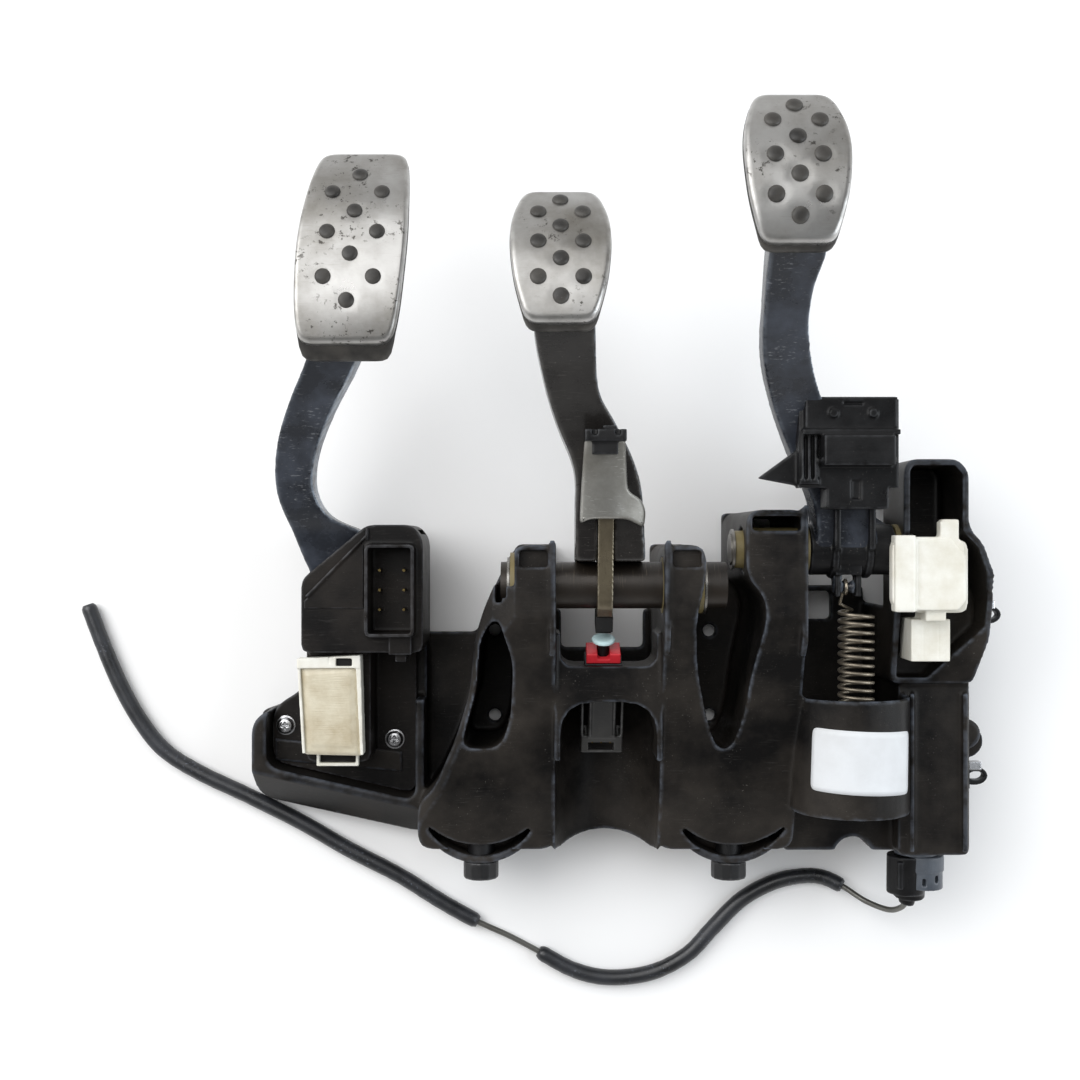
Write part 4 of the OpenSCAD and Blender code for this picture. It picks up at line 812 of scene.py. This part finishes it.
# %% Clutch hub
HUB_Y, HUB_Z = 88, 100
HUB_RODS = ((127.6, 139, 16.4), (141, 145, 18.5), (163, 167, 18.5), (138, 181, 16.3))
hub = [rod((x0, HUB_Y, HUB_Z), (x1, HUB_Y, HUB_Z), radius) for x0, x1, radius in HUB_RODS]
hub += [block(x, x + 4, 88, 116, 104, 122) for x in (141, 163)]
hub += [block(143.5, 147, 58, 84, 99.5, 111), block(156.8, 160.3, 58, 84, 99.5, 111),
        block(143.5, 160.3, 72, 86, 98, 113)]
sits_on(cast("clutch_hub_spool", hub, 0.8, 3), "clutch_arm", "black_plastic")

# %% White switch
switch = [prism([(180, 50), (217, 50), (222, 56), (222, 84), (212, 95), (180, 95)], 118, 126.6),
          block(177, 190, 49, 97, 117.5, 129.5), block(207, 218, 93, 107, 117, 125.5),
          block(198, 211, 43, 52, 108, 122)]
switch_cuts = [block(191.5, 193, 53, 93, 125.5, 130), block(209.5, 215.5, 97, 103, 124.5, 130)]
sits_on(cast("clutch_switch_lid", switch, 0.8, 3, switch_cuts), "clutch_switch_body")

plug = [block(192.5, 217.5, 16.5, 43.5, 80, 108.5), block(199, 212, 42, 54, 92, 105)]
plug_cuts = [block(x, x + 0.9, 18, 46, 107.4, 110) for x in (200, 209.5)]
stands_for(cast("clutch_plug_moulding", plug, 0.7, 3, plug_cuts), "clutch_switch_plug")

# %% [markdown]
# The brake light switch leans 25 degrees out of the bracket, so its pieces are drawn upright and then laid on
# that axis. Its blue disc rides on the plunger, the red lock is a collar round the stem, and the socket below
# the beam is an open frame.

# %% Brake light switch
SWITCH_PLACE = Vector((-3, 31, 95))
SWITCH_TILT = 25
SWITCH_LEAN = Matrix.Rotation(math.radians(SWITCH_TILT - 90), 3, "X")
STEM_R, STEM_HOLE_R = 3.4, 3.8


def on_switch(shape):
    verts, faces = shape
    return [tuple(SWITCH_PLACE + SWITCH_LEAN @ Vector(v)) for v in verts], faces


def switch_cast(name, shapes, cuts=(), voxel=0.5):
    return cast(name, [on_switch(shape) for shape in shapes], voxel, 2, [on_switch(shape) for shape in cuts])


def stem_rod(z0, z1, radius):
    return rod((0, 0, z0), (0, 0, z1), radius)


bumper_blocks = [block(-5.6, 5.6, -6.5, 6.5, 7.4, 18), block(-5, 5, 4.6, 6.5, 0.5, 8)]
stands_for(switch_cast("brake_bumper_block", bumper_blocks), "brake_bumper")
disc = switch_cast("brake_plunger_disc", [stem_rod(-2.5, -0.6, 7.5), stem_rod(-1, 0, 6.4)], voxel=0.4)
stands_for(disc, "brake_switch_plunger")
stem = switch_cast("brake_plunger_stem", [stem_rod(-20, -2.2, STEM_R)])
sits_on(stem, "brake_switch_plunger", "black_plastic")
lock = switch_cast("brake_lock_collar", [block(-11, 11, -8, 8, -15, -8)],
                   [block(-4, 4, -9, 4, -12, -7), stem_rod(-16, -12.05, STEM_HOLE_R)])
stands_for(lock, "brake_switch_lock")
base = switch_cast("brake_lock_base", [block(-12.3, 12.3, -8.5, 8.5, -20, -15.2)],
                   [stem_rod(-21, -14, STEM_HOLE_R)])
sits_on(base, "brake_switch_body", "black_plastic")
body = [block(-9, 9, -7.5, 7.5, -72, -20.3), block(-13.5, 13.5, -7, 7, -84, -71)]
body += [block(x, x + 1.8, -6, 3, -84, -42) for x in (-14, 12.2)]
body += [block(x, x + 1.4, -8.6, -7, -70, -24) for x in (-8.6, 7.2)]
body_cuts = [block(-11.5, 11.5, -5, 5, -85, -74.2), block(-9, 8, -9, -5.05, -82.2, -75.4)]
stands_for(switch_cast("brake_switch_moulding", body, body_cuts, voxel=0.6), "brake_switch_body")

# %% [markdown]
# The accelerator housing has a raised lid with a slanted edge, and below it sits the cream stop cap: a bulged
# face between white rails, a white head with a dark slot, and a small frame as its foot. The same cell adds
# the slanted bar in the tray and floors in the slots of the brake towers, which hide the bushes below.

# %% Accelerator lid and stop cap
lid = [prism([(-198.5, 57), (-196, 57), (-158, 95.5), (-158, 98)], 78, 82),
       block(-158.5, -156.5, 94, 102, 78, 82),
       prism([(-199, 49), (-160, 49), (-160, 91), (-162, 91), (-199, 54)], 79, 81),
       block(-143, -128, 19, 32, 76, 85), block(-139, -132, 14, 21, 74, 81),
       block(-199, -160, 17, 20.5, 58, 63)]
sits_on(cast("accel_lid_details", lid, 0.6, 2), "accel_housing")
cap_face = [prism([(-204, 12), (-163, 13), (-162, -49.5), (-200.5, -48.5)], 59, 71.5),
            prism([(-201.5, 10), (-166, 11), (-165, -47.5), (-198, -46.5)], 70, 73),
            prism([(-199, 6), (-169, 7), (-168, -43), (-196, -42)], 72, 74.2)]
stands_for(cast("accel_cap_face", cap_face, 0.8, 24), "accel_stop_cap")
cap_rails = [prism([(-204.8, 15.5), (-203, 15.5), (-199.4, -47), (-201.2, -47)], 62, 74.6),
             prism([(-166.2, 17.5), (-162.6, 18), (-160.8, -48), (-162.8, -48)], 62, 75),
             prism([(-204.6, 9), (-163, 9.4), (-163, 18), (-204.6, 15.6)], 66, 75.6)]
cap_cuts = [block(-179, -168.2, 10.6, 15.8, 60, 80), block(-183.8, -182.6, 12, 20, 60, 80)]
sits_on(cast("accel_cap_rails", cap_rails, 0.5, 3, cap_cuts), "accel_stop_cap", "white_plastic")
cap_slot = [block(-180, -167.4, 10, 16.4, 60, 72.6)]
sits_on(cast("accel_cap_slot", cap_slot, 0.5, 1), "accel_stop_cap", "black_plastic")
cap_foot = [block(-193.5, -191.6, -56.5, -46, 58, 63), block(-167.4, -165.5, -57, -46, 58, 63),
            block(-193.5, -165.5, -57.4, -55.2, 58, 63)]
sits_on(cast("accel_cap_foot", cap_foot, 0.5, 2), "accel_stop_cap", "white_plastic")
tray_bar = [prism([(-228, -44), (-228, -59), (-140, -67), (-140, -53)], 19.5, 27)]
sits_on(cast("tray_bar", tray_bar, 0.8, 3), "bracket")
slot_floors = [block(x0, x1, 75, 88, 118.6, 119.8) for x0, x1 in ((-58, -38), (38, 58.5))]
sits_on(cast("tower_slot_floors", slot_floors, 0.5, 1), "bracket")

# %% [markdown]
# A screw head is a stack of rods, from its washer to its crown. The cross is cut as three blocks that do not
# overlap, because overlapping cutters would leave nothing of the head.

# %% Cross-head screws
SCREWS = ((-221, -35), (-145, -44.5))
HEAD_RODS = ((-4, -1.2, 5.4), (-1.5, -0.4, 4.6), (-0.6, 0, 3.2), (-4.2, -3.4, 7))
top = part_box("accel_screws")[1][2] / MM
cross_z = (top - 1.6, top + 1)
for i, (x, y) in enumerate(SCREWS):
    head = [rod((x, y, top + z0), (x, y, top + z1), radius) for z0, z1, radius in HEAD_RODS]
    cross = [block(x - 3, x + 3, y - 0.6, y + 0.6, *cross_z)]
    cross += [block(x - 0.6, x + 0.6, y + start, y + start + 2.4, *cross_z) for start in (-3.05, 0.65)]
    screw = cast(f"accel_screw_head_{i}", head, 0.3, 2, cross)
    sits_on(screw, "accel_screws")
    if i == 0:
        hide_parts("accel_screws")

# %% [markdown]
# On the right side there are two fasteners, each a black loop with a bright tab, and a round ear of the
# bracket. The cylinder's outlet is a dark elbow beside a blue-grey end with two small slots.

# %% Side fasteners
FASTENERS, FASTENER_Z = ((248, 44), (239, -64)), 58
OVAL_SIDES = 28


def oval(x, y, across, up):
    turn = np.arange(OVAL_SIDES) * 2 * math.pi / OVAL_SIDES
    return [(x + across * math.cos(a), y + up * math.sin(a)) for a in turn]


loops, loop_holes, tabs = [], [], []
for x, y in FASTENERS:
    loops.append(block(x - 1, x + 4, y - 8, y + 7, FASTENER_Z - 9, FASTENER_Z + 7))
    loops.append(prism(oval(x + 8, y, 9, 6.2), FASTENER_Z - 4, FASTENER_Z + 4))
    loop_holes.append(prism(oval(x + 9.4, y, 5.2, 3), FASTENER_Z - 6, FASTENER_Z + 6))
    tabs.append(block(x + 4, x + 12.5, y + 3.8, y + 9.6, FASTENER_Z - 3, FASTENER_Z + 5))
stands_for(cast("side_clip_loops", loops, 0.5, 3, loop_holes), "side_clips")
stands_for(cast("side_clip_tabs", tabs, 0.5, 2), "side_clip_pins")
sits_on(cast("side_ear", [prism(oval(239, -41, 14.5, 12), 46, 60)], 0.8, 3), "bracket")

# %% Cylinder outlet
elbow = [rod((204, -119, 50), (204, -145, 49), 12.5), rod((207, -136, 49), (207, -148, 47), 10.5),
         rod((207, -146, 47), (206, -153, 44.3), 5.5), block(196, 199, -140, -122, 58, 63)]
sits_on(cast("outlet_elbow", elbow, 0.7, 4), "outlet_fitting", "black_plastic")
end = [rod((216, -118.5, 51), (216, -141, 51), 12.6), rod((216, -119, 51), (216, -129, 51), 13.4)]
end_cuts = [block(x, x + 2.4, y, y + 5, 58, 68) for x, y in ((212, -138), (220.5, -136))]
stands_for(cast("outlet_end", end, 0.6, 3, end_cuts), "outlet_fitting")

# %% [markdown]
# The label is a sheet with rounded corners, stuck on the cup a little askew. It is laid out flat like the
# pads and wrapped round the cup. It stays bare, because the part carries no lettering.

# %% Label
CUP_X, CUP_Z = 158, 87
LABEL_R, LABEL_T = 38.6, 0.3
LABEL_CORNERS = np.array([(-34, -66), (39, -66), (39, -26), (-34, -26)])
LABEL_TURN = math.radians(-2.5)
ring = even_ring(LABEL_CORNERS, 140, 6)
flat, faces = sheet_faces(ring, [], 3.0)
middle = ring.mean(axis=0)
turned = (flat - middle) @ np.array([[math.cos(LABEL_TURN), math.sin(LABEL_TURN)],
                                     [-math.sin(LABEL_TURN), math.cos(LABEL_TURN)]]) + middle
wrap = turned[:, 0] / LABEL_R
verts = np.stack([CUP_X + LABEL_R * np.sin(wrap), turned[:, 1], CUP_Z + LABEL_R * np.cos(wrap)], axis=1)
label = thicken(new_piece("label_sheet", verts * MM, faces), LABEL_T)
stands_for(label, "label")
print("label faces:", len(label.data.polygons))

# %% [markdown]
# ## Springs
#
# The clutch spring is one wire: a loop on the bar in the cup, sixteen turns, and a hook on the pedal. A curve
# with a bevel would draw it too; here it is a mesh tube. The accelerator's two small springs are squeezed by
# the arm's tail.

# %% Clutch spring
SPRING_X, SPRING_Z, SPRING_R, WIRE_R = 158, 105, 10.6, 1.2
ANCHOR_Y, HOOK_X, HOOK_Y = -48, 151, 64
COIL_LOW, COIL_TOP, TURNS = -38, 46, 16


def wire_eye(x, y, r, start, end):
    turn = np.radians(np.linspace(start, end, 13))
    return [(x, y + r * math.cos(a), SPRING_Z + r * math.sin(a)) for a in turn]


def coil_point(a):
    climb = (COIL_TOP - COIL_LOW) * (a - math.pi / 2) / (2 * math.pi * TURNS)
    return (SPRING_X + SPRING_R * math.cos(a), COIL_LOW + climb, SPRING_Z + SPRING_R * math.sin(a))


coil = [coil_point(a) for a in math.pi / 2 + np.radians(np.arange(0, 360 * TURNS + 181, 15))]
spring_line = (wire_eye(SPRING_X, ANCHOR_Y, 3.8, -60, -270)
               + [(SPRING_X, ANCHOR_Y + 6, SPRING_Z + 6), (SPRING_X, COIL_LOW - 2, SPRING_Z + 9)] + coil
               + [(HOOK_X - 2, COIL_TOP + 7, SPRING_Z - 7)] + wire_eye(HOOK_X, HOOK_Y, 4.3, 240, -90)[::-1])
spring = tube("clutch_spring_wire", np.array(spring_line) * MM, WIRE_R * MM, 8)
spring.data.materials.append(FINISH["spring_steel"])
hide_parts("clutch_spring")
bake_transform(spring)
print("clutch spring points:", len(spring_line))

# %% Accelerator springs
RETURN_R, RETURN_WIRE, RETURN_TURNS = 5 * MM, 0.7 * MM, 5
low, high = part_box("accel_springs")
reach = RETURN_R + RETURN_WIRE
y = (low[1] + high[1]) / 2
turn = np.radians(np.arange(0, 360 * RETURN_TURNS + 1, 15))
climb = np.linspace(low[2] + RETURN_WIRE, high[2] - RETURN_WIRE, len(turn))
small_verts, small_faces = [], []
for x in (low[0] + reach, high[0] - reach):
    line = np.stack([x + RETURN_R * np.cos(turn), y + RETURN_R * np.sin(turn), climb], axis=1)
    one = tube("accel_spring_one", line, RETURN_WIRE, 8)
    shift = len(small_verts)
    small_verts += [v.co.copy() for v in one.data.vertices]
    small_faces += [tuple(shift + i for i in f.vertices) for f in one.data.polygons]
    bpy.data.objects.remove(one)
returns = stands_for(new_piece("accel_springs_wire", small_verts, small_faces), "accel_springs")
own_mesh(returns)
print("accelerator springs:", len(small_faces), "faces")

# %% [markdown]
# ## What stays CAD
#
# Turned pieces such as the pivot tube, bushes and pins already have the right shape. They keep their CAD
# mesh, get a fine bevel so that their edges catch light, and take their slot's finish.

# %% Finishes on the kept nodes
kept = []
for node, piece in frame["nodes"].items():
    piece.data.materials.clear()
    piece.data.materials.append(FINISH[slot_of[node]])
    if not piece.hide_render:
        edges = piece.modifiers.new("edges", "BEVEL")
        edges.width = 0.3 * MM
        edges.segments = 2
        edges.limit_method = "ANGLE"
        edges.angle_limit = math.radians(40)
        kept.append(node)
print("kept CAD nodes:", kept)

# %% [markdown]
# ## Floor and light
#
# The photograph is a catalogue picture: a white table, soft light from above left, and broad reflections on
# the black plastic. A wide sun makes the soft shadow, two large panels make the reflections, and the world
# fills the rest. The floor is plain white paper, lit to just about white, so it keeps the shadow.

# %% Floor
FLOOR_HALF, FLOOR_Z = 3, -0.0004
around = ((-1, -1), (1, -1), (1, 1), (-1, 1))
corners = [(x * FLOOR_HALF, y * FLOOR_HALF, FLOOR_Z) for x, y in around]
floor = new_piece("white_table", corners, [(0, 1, 2, 3)])
floor_paint = bpy.data.materials.new("white_table")
floor_paint.use_nodes = True
paper = floor_paint.node_tree.nodes["Principled BSDF"]
paper.inputs["Base Color"].default_value = (0.9, 0.9, 0.9, 1)
paper.inputs["Roughness"].default_value = 0.9
floor.data.materials.append(floor_paint)
print("floor side in metres:", 2 * FLOOR_HALF)

# %% World and lamps
world = bpy.data.worlds.new("studio")
scene.world = world
world.use_nodes = True
sky = world.node_tree
height = add(sky, "SeparateXYZ", Vector=add(sky, "TexCoord").outputs["Generated"]).outputs["Z"]
feed(sky, sky.nodes["Background"].inputs["Strength"], between(sky, height, 0.12, 0.75, 1.0, 0.2))
sky.nodes["Background"].inputs["Color"].default_value = (1, 1, 1, 1)


def lamp(name, kind, energy, place, aim, **settings):
    data = bpy.data.lights.new(name, kind)
    data.energy = energy
    for key, value in settings.items():
        setattr(data, key, value)
    piece = bpy.data.objects.new(name, data)
    piece.location = place
    piece.rotation_euler = (Vector(aim) - Vector(place)).to_track_quat("-Z", "Y").to_euler()
    scene.collection.objects.link(piece)


lamp("soft_sun", "SUN", 1.7, (-0.5, 0.75, 1.3), (0, 0, 0), angle=1.0)
lamp("left_panel", "AREA", 10, (-1.0, 0.5, 0.9), (0, 0.05, 0.05), shape="RECTANGLE", size=0.9, size_y=1.2)
lamp("right_panel", "AREA", 7, (1.0, 0.1, 0.7), (0, 0.05, 0.05), shape="RECTANGLE", size=0.6, size_y=1.2,
     color=(0.88, 0.94, 1.0))
